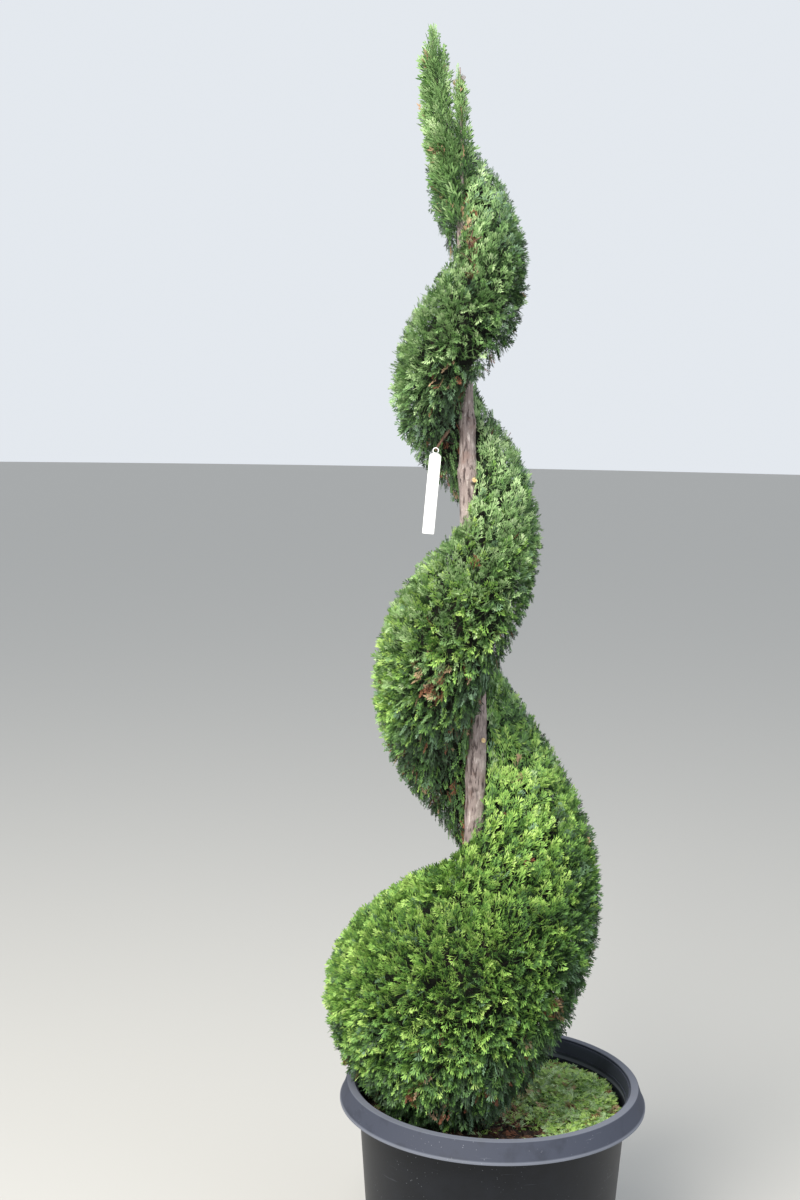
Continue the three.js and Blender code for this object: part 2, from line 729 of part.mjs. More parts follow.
const TIP_LEADER = {
  centre: trunkCentre,
  radius: trunkR,
  sleeve: TUFT_SLEEVE,
  heights: TUFT_Z,
  face: tuftPoint,
};
const SIDE_LEADER = {
  centre: secondLeaderCentre,
  radius: secondLeaderR,
  sleeve: SIDE_TUFT_SLEEVE,
  heights: SIDE_TUFT_Z,
  face: sideTuftPoint,
};

// Tuft round the first leader, reaching down its front
function tipTuft(seed, stems, neighbours) {
  const random = randomFrom(seed);
  const frontAzimuths = TUFT_FRONT_AZIMUTHS.map(radians);
  const blades = [
    ...tuftBlades(TIP_LEADER, TUFT_FRONT_Z, frontAzimuths, TUFT_FRONT_SPRAYS, random),
    ...tuftBlades(TIP_LEADER, TUFT_ROUND_Z, [0, 2 * Math.PI], TUFT_ROUND_SPRAYS, random),
  ];
  const core = tuftSleeve(TIP_LEADER, 0).subtract(stems);
  return addSprays(core, blades, () => true, wasm.Manifold.union([stems, ...neighbours]));
}

// Slim tuft round the second leader
function sideTuft(seed, stems, neighbours) {
  const azimuths = SIDE_TUFT_AZIMUTHS.map(radians);
  const blades = tuftBlades(SIDE_LEADER, SIDE_TUFT_Z, azimuths, SIDE_TUFT_SPRAYS, randomFrom(seed));
  const core = tuftSleeve(SIDE_LEADER, 0).subtract(stems);
  return addSprays(core, blades, () => true, wasm.Manifold.union([stems, ...neighbours]));
}

// Label

// Bare twig that leaves the foliage, bends forward and carries the label
function labelTwig() {
  const hang = new THREE.Vector3(...LABEL_HANG);
  const path = [
    new THREE.Vector3(...LABEL_TWIG_ROOT),
    hang.clone().add(new THREE.Vector3(0, LABEL_TWIG_ELBOW, 0)),
    hang.clone().add(new THREE.Vector3(0, -LABEL_TWIG_END, 0)),
  ];
  return limb(path, [2 * LABEL_TWIG_R, LABEL_TWIG_R, LABEL_TWIG_R], LABEL_TWIG_SIDES);
}

function makeLabel() {
  const loop = new THREE.TorusGeometry(LABEL_LOOP_R, LABEL_LOOP_WIRE, 6, 14);
  const strip = new THREE.BoxGeometry(LABEL_WIDTH, LABEL_LENGTH, LABEL_THICKNESS);
  strip.translate(0, -LABEL_LENGTH / 2 - LABEL_LOOP_R, 0);
  return oneBody(wasm.Manifold.union([solidOf(loop), solidOf(strip)]));
}

// Assembly

const group = new THREE.Group();
group.name = "spiral_topiary";

const pot = makePot();
const stems = trunkSolid(LIMB_MARGIN).add(secondLeader(LIMB_MARGIN));
const tipSleeve = tuftSleeve(TIP_LEADER, LIMB_MARGIN);
const sideSleeve = tuftSleeve(SIDE_LEADER, LIMB_MARGIN);
const keptFree = wasm.Manifold.union([stems, tipSleeve, sideSleeve]);
const bareSecondLeader = oneBody(secondLeader(0).subtract(trunkSkin(CLEARANCE)));

group.add(meshOf("pot", pot, BLACK_PLASTIC));
group.add(meshOf("potting_mix", makeMix(), DARK_MIX));
group.add(meshOf("trunk", trunkSolid(0), GREY_BARK));
group.add(meshOf("second_leader", bareSecondLeader, GREY_BARK));

// One foliage mass for each quarter of each turn, named by its turn and the side that it faces
const SIDES = ["back", "left", "front", "right"];
const seams = [NOSE_SECTION];
for (let seam = FIRST_SEAM; seam < BAND_END - SHORTEST_MASS; seam += SEAM_STEP) seams.push(seam);
seams.push(BAND_END);
const topMasses = [];
for (let i = 0; i < seams.length - 1; i += 1) {
  const name = `foliage_${Math.floor(i / 4) + 1}_${SIDES[i % 4]}`;
  const extra = name === LABEL_BEARER ? [labelTwig()] : [];
  const mass = bandMass(seams[i], seams[i + 1], MASS_SEED + i, keptFree, pot, extra);
  if (seams[i + 1] > TUFT_FROM_TURN) topMasses.push(mass);
  group.add(meshOf(name, mass, CLIPPED_GREEN));
}
const besideTip = sideTuft(SIDE_SEED, stems, [...topMasses, tipSleeve]);
group.add(meshOf("side_tuft", besideTip, TUFT_GREEN));
group.add(meshOf("tip_tuft", tipTuft(TIP_SEED, stems, [...topMasses, besideTip]), TUFT_GREEN));

// The label hangs by its loop, tilted a little in the wind
const hanging = new THREE.Group();
const label = meshOf("plant_label", makeLabel(), WHITE_LABEL);
const loopDrop = LABEL_LOOP_R - LABEL_LOOP_WIRE - LABEL_TWIG_R - CLEARANCE;
label.rotation.x = Math.PI / 2;
hanging.rotation.y = radians(LABEL_TILT_DEG);
hanging.position.set(LABEL_HANG[0], LABEL_HANG[1], LABEL_HANG[2] - loopDrop);
hanging.add(label);
group.add(hanging);

export default group;
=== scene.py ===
# %% [markdown]
# # A spiral topiary in its nursery pot
# An evergreen with flat scaly sprays is clipped into one rising spiral round its bare, leaning trunk.
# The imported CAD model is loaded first. It fixes every size and place, and the pieces made here dress it.

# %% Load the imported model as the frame
import math

import bmesh
import bpy
import numpy as np
from mathutils import Matrix, Vector, noise


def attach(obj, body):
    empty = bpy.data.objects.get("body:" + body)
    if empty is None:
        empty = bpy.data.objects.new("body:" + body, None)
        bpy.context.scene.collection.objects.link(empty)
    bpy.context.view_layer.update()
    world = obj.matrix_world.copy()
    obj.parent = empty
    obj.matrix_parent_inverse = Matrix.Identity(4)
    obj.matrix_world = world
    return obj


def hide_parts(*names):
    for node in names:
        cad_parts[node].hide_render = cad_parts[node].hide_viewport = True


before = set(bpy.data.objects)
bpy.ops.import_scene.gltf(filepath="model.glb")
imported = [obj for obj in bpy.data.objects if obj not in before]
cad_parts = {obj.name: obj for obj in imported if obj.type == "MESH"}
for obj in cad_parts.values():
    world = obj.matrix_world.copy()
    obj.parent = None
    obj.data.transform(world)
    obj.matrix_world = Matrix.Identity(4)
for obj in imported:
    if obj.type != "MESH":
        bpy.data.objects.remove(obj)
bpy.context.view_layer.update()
MM = 0.001


def put_in_scene(name, data):
    made = bpy.data.objects.new(name, data)
    bpy.context.collection.objects.link(made)
    return made


print("CAD nodes:", len(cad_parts))

# %% [markdown]
# ## Camera, floor and light
# A 50 mm lens is assumed, and the ellipses of the pot then place the camera: 2.8 m in front of the
# plant at about eye height, looking a little down and rolled by one degree. A turned matrix gives that
# exactly, where a track-to constraint would lose the roll.

# %% Camera
CAMERA_PLACE = (-0.176, -2.810, 1.558)
CAMERA_PITCH_DEG = 90 - 6.667
CAMERA_ROLL_DEG = 0.955
camera_data = bpy.data.cameras.new("camera")
camera_data.lens = 50
camera_data.sensor_width = 36
camera = put_in_scene("camera", camera_data)
camera.matrix_world = (
    Matrix.Translation(CAMERA_PLACE)
    @ Matrix.Rotation(math.radians(CAMERA_PITCH_DEG), 4, "X")
    @ Matrix.Rotation(math.radians(CAMERA_ROLL_DEG), 4, "Z")
)
bpy.context.scene.camera = camera
print("camera at", CAMERA_PLACE)


# %% Colours and shader nodes
MID_GREY = (0.5, 0.5, 0.5, 1.0)


def linear(hex_colour):
    """Linear colour with alpha from an sRGB hex value."""
    channels = [int(hex_colour[i : i + 2], 16) / 255 for i in (1, 3, 5)]
    return tuple(c / 12.92 if c <= 0.04045 else ((c + 0.055) / 1.055) ** 2.4 for c in channels) + (1.0,)


def add_node(tree, kind, inputs=None, **settings):
    """One shader node. Inputs are its sockets, each a value, a hex colour or another node's output."""
    made = tree.nodes.new(kind)
    for name, value in settings.items():
        setattr(made, name, value)
    for name, value in (inputs or {}).items():
        if isinstance(value, bpy.types.NodeSocket):
            tree.links.new(value, made.inputs[name])
        else:
            made.inputs[name].default_value = linear(value) if isinstance(value, str) else value
    return made


def new_material(name, **sockets):
    """Material with one Principled shader, its node tree and the place on the piece in metres."""
    material = bpy.data.materials.new(name)
    material.use_nodes = True
    tree = material.node_tree
    tree.nodes.clear()
    inputs = {socket.replace("_", " "): value for socket, value in sockets.items()}
    shader = add_node(tree, "ShaderNodeBsdfPrincipled", inputs)
    add_node(tree, "ShaderNodeOutputMaterial", {"Surface": shader.outputs[0]})
    material.diffuse_color = linear(sockets["Base_Color"]) if "Base_Color" in sockets else MID_GREY
    place = add_node(tree, "ShaderNodeTexCoord").outputs["Object"]
    return material, tree, shader, place


def ramp(tree, value, stops):
    """Colour ramp through (place, hex colour) stops."""
    made = add_node(tree, "ShaderNodeValToRGB", {"Fac": value})
    elements = made.color_ramp.elements
    while len(elements) < len(stops):
        elements.new(0.5)
    for element, (place, colour) in zip(elements, stops):
        element.position = place
        element.color = linear(colour)
    return made.outputs["Color"]


def noise_at(tree, place, scale, detail, roughness=0.5, **more):
    inputs = {"Vector": place, "Scale": scale, "Detail": detail, "Roughness": roughness} | more
    return add_node(tree, "ShaderNodeTexNoise", inputs).outputs["Fac"]


def cells_at(tree, place, scale):
    return add_node(tree, "ShaderNodeTexVoronoi", {"Vector": place, "Scale": scale}).outputs["Distance"]


def stretched(tree, place, scale, turned=(0, 0, 0)):
    inputs = {"Vector": place, "Scale": scale, "Rotation": turned}
    return add_node(tree, "ShaderNodeMapping", inputs).outputs[0]


def remapped(tree, value, low, high, to_low=0, to_high=1, **settings):
    """Value carried from the range low to high into another range, and held at its ends."""
    ranges = {"Value": value, "From Min": low, "From Max": high, "To Min": to_low, "To Max": to_high}
    return add_node(tree, "ShaderNodeMapRange", ranges, **settings).outputs[0]


def maths(tree, operation, first, second, **settings):
    values = {0: first, 1: second}
    return add_node(tree, "ShaderNodeMath", values, operation=operation, **settings).outputs[0]


def mixed(tree, share, first, second):
    inputs = {"Factor": share, 6: first, 7: second}
    return add_node(tree, "ShaderNodeMix", inputs, data_type="RGBA").outputs[2]


def link_shader(tree, shader, height=None, strength=0, distance=0, **sockets):
    """Patterns into the shader's sockets, with a bump of so many metres from a height."""
    if height:
        inputs = {"Height": height, "Strength": strength, "Distance": distance}
        sockets["Normal"] = add_node(tree, "ShaderNodeBump", inputs).outputs[0]
    for name, output in sockets.items():
        tree.links.new(output, shader.inputs[name.replace("_", " ")])


print("white is", linear("#ffffff"))

# %% [markdown]
# ## Floor and daylight
# The photo is taken under a bright, even sky. A pale world gives that light, and one large soft lamp
# from the upper left makes the left and top of the foliage brighter, as there.

# %% Floor and light
LAMP_PLACE = (-1.7, -2.5, 4.4)
floor_material = new_material("pale_floor", Base_Color="#b4b3af", Roughness=0.9)[0]
bm = bmesh.new()
bmesh.ops.create_circle(bm, cap_ends=True, segments=96, radius=40)
floor_mesh = bpy.data.meshes.new("floor")
bm.to_mesh(floor_mesh)
bm.free()
floor_mesh.materials.append(floor_material)
floor = put_in_scene("floor", floor_mesh)

world = bpy.data.worlds.new("pale_sky")
world.use_nodes = True
background = world.node_tree.nodes["Background"]
background.inputs["Color"].default_value = linear("#e9eef4")
background.inputs["Strength"].default_value = 0.95
bpy.context.scene.world = world


def soft_lamp(name, place, target, size, watts, colour):
    """Square soft lamp that faces a point."""
    data = bpy.data.lights.new(name, "AREA")
    data.size = size
    data.energy = watts
    data.color = linear(colour)[:3]
    lamp = put_in_scene(name, data)
    lamp.location = place
    lamp.rotation_euler = (Vector(target) - Vector(place)).to_track_quat("-Z", "Y").to_euler()


soft_lamp("key_lamp", LAMP_PLACE, (0, 0, 1.0), 2.2, 400, "#fffaf2")
soft_lamp("fill_lamp", (3.0, -3.0, 2.2), (0, 0, 0.9), 3.0, 40, "#e6f0ff")
bpy.context.scene.view_settings.view_transform = "Standard"
print("lit by a pale sky and two soft lamps")

# %% [markdown]
# ## The growth rule
# The gardener clips the foliage to a band that climbs round the trunk: a half ellipse swept along a
# helix that narrows towards the top. The same stations as in the solids give it here, in millimetres,
# written for arrays, so that thousands of sprays find their place at once.

# %% Trunk line and spiral band
TRUNK_STATIONS = np.array([
    (340, -30, 25), (600, -42, 20), (830, -40, 17.2), (1060, -43, 16.2),
    (1420, -63, 14.6), (1510, -68, 11.6), (1850, -84, 7.4), (1911, -95, 6.3),
    (1975, -109, 5.2), (2040, -120, 3.8), (2150, -138, 1.8),
])
TRUNK_TIP_Z = 2150
SOIL_Z = 340
COLLARS = (1445, 1530)
# turn, height of the middle, rise above it, drop below it, reach from the trunk, crest that climbs the
# trunk above it, undercut beside the trunk below it
BAND_STATIONS = np.array([
    (-0.52, 512, 230, 262, 274, 0, 0), (-0.25, 539, 208, 261, 253, 32, 0),
    (0.0, 584, 246, 277, 245, 8, 0), (0.25, 741, 215, 254, 216, 10, 5),
    (0.5, 942, 232, 231, 211, 19, 20), (0.75, 1082, 222, 203, 172, 12, 33),
    (1.0, 1213, 182, 175, 136, 0, 12), (1.25, 1353, 162, 140, 114, 0, 27),
    (1.5, 1481, 137, 139, 128, 0, 25), (1.75, 1587, 144, 143, 122, 0, 40),
    (2.0, 1688, 150, 144, 124, 0, 58), (2.25, 1798, 166, 160, 102, 0, 24),
    (2.4, 1854, 144, 140, 104, 0, 27), (2.5, 1891, 96, 138, 80, 0, 20),
    (2.78, 1950, 34, 92, 42, 0, 0),
])
MIDDLE, RISE, DROP, REACH, CREST, UNDERCUT = 1, 2, 3, 4, 5, 6
# the band climbs round the trunk, but round a straighter line than the leader at the top
BAND_AXIS = np.array([tuple(row[:2]) for row in TRUNK_STATIONS[:7]] + [(2000, -101), (2150, -121)])
CREST_SHARPNESS = 6
BAND_START, BAND_END, NOSE_TURNS = -0.52, 2.78, 0.2
LOWEST_LEAF_Z, RIM_LEAF_Z = 349, 392
RIM_RISE_R = (195, 232)


def along(stations, column, at):
    """Smooth curve through one column of a station table."""
    x, y = stations[:, 0], stations[:, column]
    last = len(x) - 1
    k = np.arange(last + 1)
    before, after = np.maximum(k - 1, 0), np.minimum(k + 1, last)
    slope = (y[after] - y[before]) / (x[after] - x[before])
    at = np.clip(at, x[0], x[-1])
    i = np.clip(np.searchsorted(x, at) - 1, 0, last - 1)
    step = x[i + 1] - x[i]
    t = (at - x[i]) / step
    return (
        (2 * t**3 - 3 * t**2 + 1) * y[i]
        + (t**3 - 2 * t**2 + t) * step * slope[i]
        + (3 * t**2 - 2 * t**3) * y[i + 1]
        + (t**3 - t**2) * step * slope[i + 1]
    )


def smooth_step(low, high, x):
    t = np.clip((x - low) / (high - low), 0, 1)
    return t * t * (3 - 2 * t)


def outwards(azimuth):
    return np.stack([np.cos(azimuth), np.sin(azimuth), np.zeros_like(azimuth)], axis=-1)


def axis_point(stations, z):
    z = np.asarray(z, float)
    return np.stack([along(stations, 1, z), 6 * np.sin((z - SOIL_Z) / 240), z], axis=-1)


def trunk_centre(z):
    return axis_point(TRUNK_STATIONS, z)


def trunk_radius(z):
    swell = sum(np.exp(-(((z - collar) / 13) ** 2)) for collar in COLLARS)
    return along(TRUNK_STATIONS, 2, z) + 2.6 * swell


def azimuth_of(turn):
    return 2 * np.pi * turn - np.pi / 2


def nose_share(turn):
    t = np.clip((turn - BAND_START) / NOSE_TURNS, 0, 1)
    return np.sqrt(1 - (1 - t) ** 2)


def band_point(turn, lift, inset):
    """Point on the clipped face or under it; lift runs from -pi/2 below to pi/2 above."""
    turn, lift, inset = np.broadcast_arrays(*(np.asarray(v, float) for v in (turn, lift, inset)))
    share = nose_share(turn)
    reach = share * (along(BAND_STATIONS, REACH, turn) - inset)
    above = lift > 0
    tall = np.where(above, along(BAND_STATIONS, RISE, turn), along(BAND_STATIONS, DROP, turn))
    swell = np.where(above, along(BAND_STATIONS, CREST, turn), along(BAND_STATIONS, UNDERCUT, turn))
    raised = share * swell * np.sin(lift) ** CREST_SHARPNESS
    z = along(BAND_STATIONS, MIDDLE, turn) + share * (tall - inset) * np.sin(lift) + raised
    out = np.maximum(2, reach * np.cos(lift))
    point = axis_point(BAND_AXIS, z) + out[..., None] * outwards(azimuth_of(turn))
    over_rim = smooth_step(*RIM_RISE_R, np.hypot(point[..., 0], point[..., 1]))
    lowest = LOWEST_LEAF_Z + (RIM_LEAF_Z - LOWEST_LEAF_Z) * over_rim
    point[..., 2] = np.maximum(point[..., 2], lowest + 0.6 * inset)
    return point


def unit(vectors):
    return vectors / np.maximum(np.linalg.norm(vectors, axis=-1, keepdims=True), 1e-9)


def band_normal(turn, lift):
    step = 0.004
    along_band = band_point(turn + step, lift, 0) - band_point(turn - step, lift, 0)
    across_band = band_point(turn, lift + step, 0) - band_point(turn, lift - step, 0)
    return unit(np.cross(along_band, across_band))


print("furthest reach", round(float(band_point(-0.25, 0.0, 0)[0]), 1), "mm")


# %% [markdown]
# ## Pieces from bmesh and from arrays
# A single piece is shaped in a bmesh. A piece of thousands of equal small things is a template shaped in
# a bmesh once and then copied by one array multiplication, because a bmesh is slow at that count.

# %% Finishing a piece
def finish_piece(name, mesh, materials, replaced=(), smooth_deg=None):
    """Object at the origin that rides on the part and stands for its CAD nodes."""
    mesh.name = name
    for material in materials:
        mesh.materials.append(material)
    if smooth_deg:
        mesh.shade_smooth()
        mesh.set_sharp_from_angle(angle=math.radians(smooth_deg))
    piece = put_in_scene(name, mesh)
    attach(piece, "root")
    if replaced:
        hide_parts(*replaced)
    return piece


def close_seams(bm, gap):
    """Join points that meet, and cap what is still open."""
    bmesh.ops.remove_doubles(bm, verts=bm.verts, dist=gap)
    bmesh.ops.holes_fill(bm, edges=[e for e in bm.edges if e.is_boundary], sides=0)


def mesh_from_bmesh(bm):
    """Mesh in metres, its faces out, from a bmesh in millimetres."""
    bmesh.ops.recalc_face_normals(bm, faces=bm.faces)
    bmesh.ops.scale(bm, vec=(MM, MM, MM), verts=bm.verts)
    mesh = bpy.data.meshes.new("piece")
    bm.to_mesh(mesh)
    bm.free()
    return mesh


def add_limb(bm, path, radii, sides, material=0):
    """Tapering limb: a capped ring extruded from point to point."""
    path = [Vector(point) for point in path]
    axes = [
        (path[min(i + 1, len(path) - 1)] - path[max(i - 1, 0)]).normalized() for i in range(len(path))
    ]
    places = [
        Matrix.Translation(point)
        @ Vector((0, 0, 1)).rotation_difference(axis).to_matrix().to_4x4()
        @ Matrix.Scale(radius, 4)
        for point, axis, radius in zip(path, axes, radii)
    ]
    ring = bmesh.ops.create_circle(bm, cap_ends=True, segments=sides, radius=1)["verts"]
    cap = ring[0].link_faces[0]
    bmesh.ops.transform(bm, matrix=places[0], verts=ring)
    for before, after in zip(places, places[1:]):
        grown = bmesh.ops.extrude_face_region(bm, geom=[cap])["geom"]
        cap = next(item for item in grown if isinstance(item, bmesh.types.BMFace))
        bmesh.ops.transform(bm, matrix=after @ before.inverted(), verts=cap.verts)
    if material:
        cap.material_index = material
    return cap


def template_arrays(bm):
    """Points, triangles and grades of a template; the grade is kept as its material index."""
    bmesh.ops.recalc_face_normals(bm, faces=bm.faces)
    bmesh.ops.triangulate(bm, faces=bm.faces)
    bm.verts.ensure_lookup_table()
    points = np.array([v.co for v in bm.verts])
    triangles = np.array([[v.index for v in face.verts] for face in bm.faces])
    grades = np.array([face.material_index for face in bm.faces])
    bm.free()
    return points, triangles, grades


def joined_copies(templates, choice, foots, axes):
    """Points, triangles and grades of many copies. Axes holds one 3 by 3 matrix a copy."""
    points = np.stack([template[0] for template in templates])[choice]
    placed = np.einsum("nij,nvj->nvi", axes, points) + foots[:, None, :]
    shifts = np.arange(len(foots))[:, None, None] * points.shape[1]
    triangles = templates[0][1][None] + shifts
    grades = np.broadcast_to(templates[0][2], (len(foots), len(templates[0][2])))
    return placed.reshape(-1, 3), triangles.reshape(-1, 3), grades


def mesh_from_arrays(points, triangles, materials):
    """Mesh in metres from arrays in millimetres, with one material index a triangle."""
    mesh = bpy.data.meshes.new("piece")
    mesh.vertices.add(len(points))
    mesh.vertices.foreach_set("co", (points * MM).astype(np.float32).ravel())
    mesh.loops.add(triangles.size)
    mesh.loops.foreach_set("vertex_index", triangles.astype(np.int32).ravel())
    mesh.polygons.add(len(triangles))
    mesh.polygons.foreach_set("loop_start", np.arange(0, triangles.size, 3, dtype=np.int32))
    mesh.polygons.foreach_set("material_index", materials.astype(np.int32).ravel())
    mesh.update(calc_edges=True)
    mesh.validate()
    return mesh


def frames_from(foots, tips, sides, widths):
    """Matrices that lay a unit template from foot to tip, with its flat side turned to sides."""
    lengthways = tips - foots
    length = np.linalg.norm(lengthways, axis=1, keepdims=True)
    axis = lengthways / length
    across = unit(sides - axis * np.sum(sides * axis, axis=1, keepdims=True))
    up = np.cross(across, axis)
    return np.stack([across * length * widths[:, None], lengthways, up * length], axis=2)


print("piece helpers ready")

# %% [markdown]
# ## Black moulded plastic
# Nursery pots are blown or injection moulded from recycled black polyethylene. Its soft skin scatters
# light at an IOR of 1.5 and a roughness near 0.5. Outdoors a bluish-grey film of dust and lime dries on
# the rim, with pale water specks of 1 to 2 mm and hair scratches from stacking, so three patterns of
# those sizes lighten the black.


# %% Material of the pot
def moulded_black_polyethylene():
    material, tree, shader, place = new_material(
        "moulded_black_polyethylene", IOR=1.5, Specular_IOR_Level=0.25
    )
    height = add_node(tree, "ShaderNodeSeparateXYZ", {0: place}).outputs["Z"]
    on_rim = remapped(tree, height, 0.335, 0.362, 0.1, 0.72, interpolation_type="SMOOTHSTEP")
    film = remapped(tree, noise_at(tree, place, 26, 9, 0.62), 0.3, 0.72)
    dust = maths(tree, "ADD", maths(tree, "MULTIPLY", film, on_rim), on_rim, use_clamp=True)
    colour = mixed(tree, dust, "#0b0d0f", "#3b3f4b")
    # water specks, 1 to 2 mm across and about 7 mm apart
    speck = remapped(tree, cells_at(tree, place, 150), 0.13, 0.07)
    there = remapped(tree, noise_at(tree, place, 11, 3), 0.48, 0.66, 0, 0.4)
    colour = mixed(tree, maths(tree, "MULTIPLY", speck, there), colour, "#aeb2ba")
    # hair scratches that run round the wall
    hairs = noise_at(tree, stretched(tree, place, (14, 14, 420), (0.2, 0.1, 0)), 1, 2)
    colour = mixed(tree, remapped(tree, hairs, 0.7, 0.78, 0, 0.18), colour, "#868b96")
    # painted highlight: thin pale lines along the lip and the rim's top edge, where they catch the light
    on_skirt = maths(tree, "GREATER_THAN", height, 0.35)
    painted_lip_highlight = maths(tree, "MULTIPLY", remapped(tree, height, 0.3575, 0.3545), on_skirt)
    painted_edge_highlight = maths(tree, "MAXIMUM", painted_lip_highlight, remapped(tree, height, 0.385, 0.3865))
    colour = mixed(tree, maths(tree, "MULTIPLY", painted_edge_highlight, 0.4), colour, "#a0a5b1")
    rough = remapped(tree, dust, 0, 1, 0.42, 0.68)
    grain = noise_at(tree, place, 420, 3)
    link_shader(tree, shader, grain, 0.12, 0.0006, Base_Color=colour, Roughness=rough)
    return material


POT_PLASTIC = moulded_black_polyethylene()
print(POT_PLASTIC.name)

# %% [markdown]
# ## The pot
# The real pot is round, with a straight tapering wall, a wide sloping skirt that stiffens its rim, a thin
# lip under the skirt, three steps inside the mouth and drain notches at the foot. Its outline is spun
# once round, the notches are cut by a Boolean, and the edges are softened as a mould leaves them.

# %% Pot outline
POT_HEIGHT, POT_BASE_R, POT_SHOULDER_R, POT_MOUTH_R = 386, 205, 236, 241
POT_WALL, POT_FLOOR = 4, 6
SKIRT_TOP_R, SKIRT_LIP_R, SKIRT_DROP = 255.5, 267, 34
NOTCH_COUNT, NOTCH_SIZE, NOTCH_FIRST_DEG = 6, 25, -95
POT_STEPS = 160


def pot_inner_radius(z):
    return POT_BASE_R - POT_WALL + (POT_SHOULDER_R - POT_BASE_R) * z / POT_HEIGHT


def pot_outline():
    foot_z = POT_HEIGHT - 36
    tread = (POT_MOUTH_R - pot_inner_radius(foot_z)) / 3
    steps = []
    for k in (3, 2, 1):
        radius = pot_inner_radius(foot_z) + k * tread
        steps += [(radius, foot_z + 12 * k), (radius, foot_z + 12 * k - 12)]
    lip_z = POT_HEIGHT - SKIRT_DROP
    outer = [(0, 0), (POT_BASE_R, 0), (POT_BASE_R + 2.5, 30), (POT_BASE_R + 4, 32)]
    outer += [(POT_SHOULDER_R, 376), (POT_SHOULDER_R + 2, 382), (SKIRT_TOP_R - 4, 382)]
    outer += [(SKIRT_LIP_R - 5, lip_z + 5), (SKIRT_LIP_R - 5, lip_z), (SKIRT_LIP_R, lip_z)]
    outer += [(SKIRT_LIP_R, lip_z + 3), (SKIRT_LIP_R - 2.6, lip_z + 5.5), (SKIRT_TOP_R, 384.5)]
    outer += [(SKIRT_TOP_R - 1.5, POT_HEIGHT), (POT_MOUTH_R + 1.2, POT_HEIGHT), (POT_MOUTH_R, 385)]
    return outer + steps[1:] + [(pot_inner_radius(POT_FLOOR), POT_FLOOR), (0, POT_FLOOR)]


def spin_once(bm, geom, axis, steps):
    bmesh.ops.spin(
        bm, geom=geom, cent=(0, 0, 0), axis=axis, angle=2 * math.pi, steps=steps, use_merge=True
    )


def spin_outline(outline, steps):
    """Closed solid of revolution about Z."""
    bm = bmesh.new()
    points = [bm.verts.new((r, 0, z)) for r, z in outline]
    edges = [bm.edges.new(pair) for pair in zip(points, points[1:])]
    spin_once(bm, points + edges, (0, 0, 1), steps)
    bmesh.ops.remove_doubles(bm, verts=bm.verts, dist=0.01)
    return bm


pot_mesh = mesh_from_bmesh(spin_outline(pot_outline(), POT_STEPS))
print("pot faces:", len(pot_mesh.polygons))

# %% Drain notches and the finished pot
bm = bmesh.new()
for k in range(NOTCH_COUNT):
    a = math.radians(NOTCH_FIRST_DEG + 360 * k / NOTCH_COUNT)
    middle = (POT_BASE_R * math.cos(a), POT_BASE_R * math.sin(a), 0)
    sized = Matrix.Diagonal((NOTCH_SIZE, NOTCH_SIZE, 2 * NOTCH_SIZE, 1))
    place = Matrix.Translation(middle) @ Matrix.Rotation(a, 4, "Z")
    bmesh.ops.create_cube(bm, size=1, matrix=place @ sized)
cutter = put_in_scene("notch_cutter", mesh_from_bmesh(bm))

pot = finish_piece("moulded_pot", pot_mesh, [POT_PLASTIC], ["pot"])
cut = pot.modifiers.new("notches", "BOOLEAN")
cut.object = cutter
cut.operation = "DIFFERENCE"
cut.solver = "EXACT"
whole = bpy.data.meshes.new_from_object(pot.evaluated_get(bpy.context.evaluated_depsgraph_get()))
pot.modifiers.clear()
pot.data = whole
bpy.data.objects.remove(cutter)
whole.shade_smooth()
whole.set_sharp_from_angle(angle=math.radians(28))
soften = pot.modifiers.new("moulded_edges", "BEVEL")
soften.width = 0.5 * MM
soften.segments = 1
soften.limit_method = "ANGLE"
soften.angle_limit = math.radians(40)
print("pot faces after the notches:", len(whole.polygons))


# %% [markdown]
# ## Bark, mix and leaves
# The bark of this evergreen is thin, grey over red-brown, and splits into long upright fibres 3 to 8 mm
# wide, so its noise is stretched along the stem. The potting mix is composted bark, nearly black when
# moist. Leaves are made as plain colours dealt out spray by spray, with only their gloss patterned,
# because a pattern finer than a leaf can't be seen at this size.

# %% Bark
def fibrous_bark(name, dark, middle, pale, red):
    material, tree, shader, place = new_material(name, IOR=1.45, Roughness=0.82)
    strips = noise_at(tree, stretched(tree, place, (190, 190, 38)), 1, 6, 0.6, Distortion=0.4)
    colour = ramp(tree, strips, [(0.38, dark), (0.48, middle), (0.57, middle), (0.68, pale)])
    blotch = noise_at(tree, place, 34, 5, 0.6)
    colour = mixed(tree, remapped(tree, blotch, 0.54, 0.7, 0, 0.6), colour, red)
    colour = mixed(tree, remapped(tree, blotch, 0.44, 0.3, 0, 0.55), colour, pale)
    link_shader(tree, shader, strips, 0.9, 0.0022, Base_Color=colour)
    return material


def mottled(name, scale, detail, stops, **sockets):
    """Material whose colour wanders between the stops."""
    material, tree, shader, place = new_material(name, **sockets)
    pattern = noise_at(tree, place, scale, detail)
    link_shader(tree, shader, Base_Color=ramp(tree, pattern, stops))
    return material


TRUNK_BARK = fibrous_bark("grey_fibrous_bark", "#483c3a", "#8f817d", "#c8bbb5", "#7e6257")
TWIG_BARK = fibrous_bark("brown_twig_bark", "#30241d", "#5c4536", "#866d58", "#643f2c")
# painted shade: a near-black copy of the twig bark for the twigs inside the clipped masses
SHADED_BARK = fibrous_bark("shaded_twig_bark", "#17110c", "#2c211a", "#43352a", "#3a261b")
WOOD_STOPS = [(0.35, "#9b7a4e"), (0.6, "#d9bf8e")]
CUT_WOOD = mottled("pruned_wood", 500, 4, WOOD_STOPS, Base_Color="#c9a873", Roughness=0.7)
print(TRUNK_BARK.name, TWIG_BARK.name, CUT_WOOD.name)


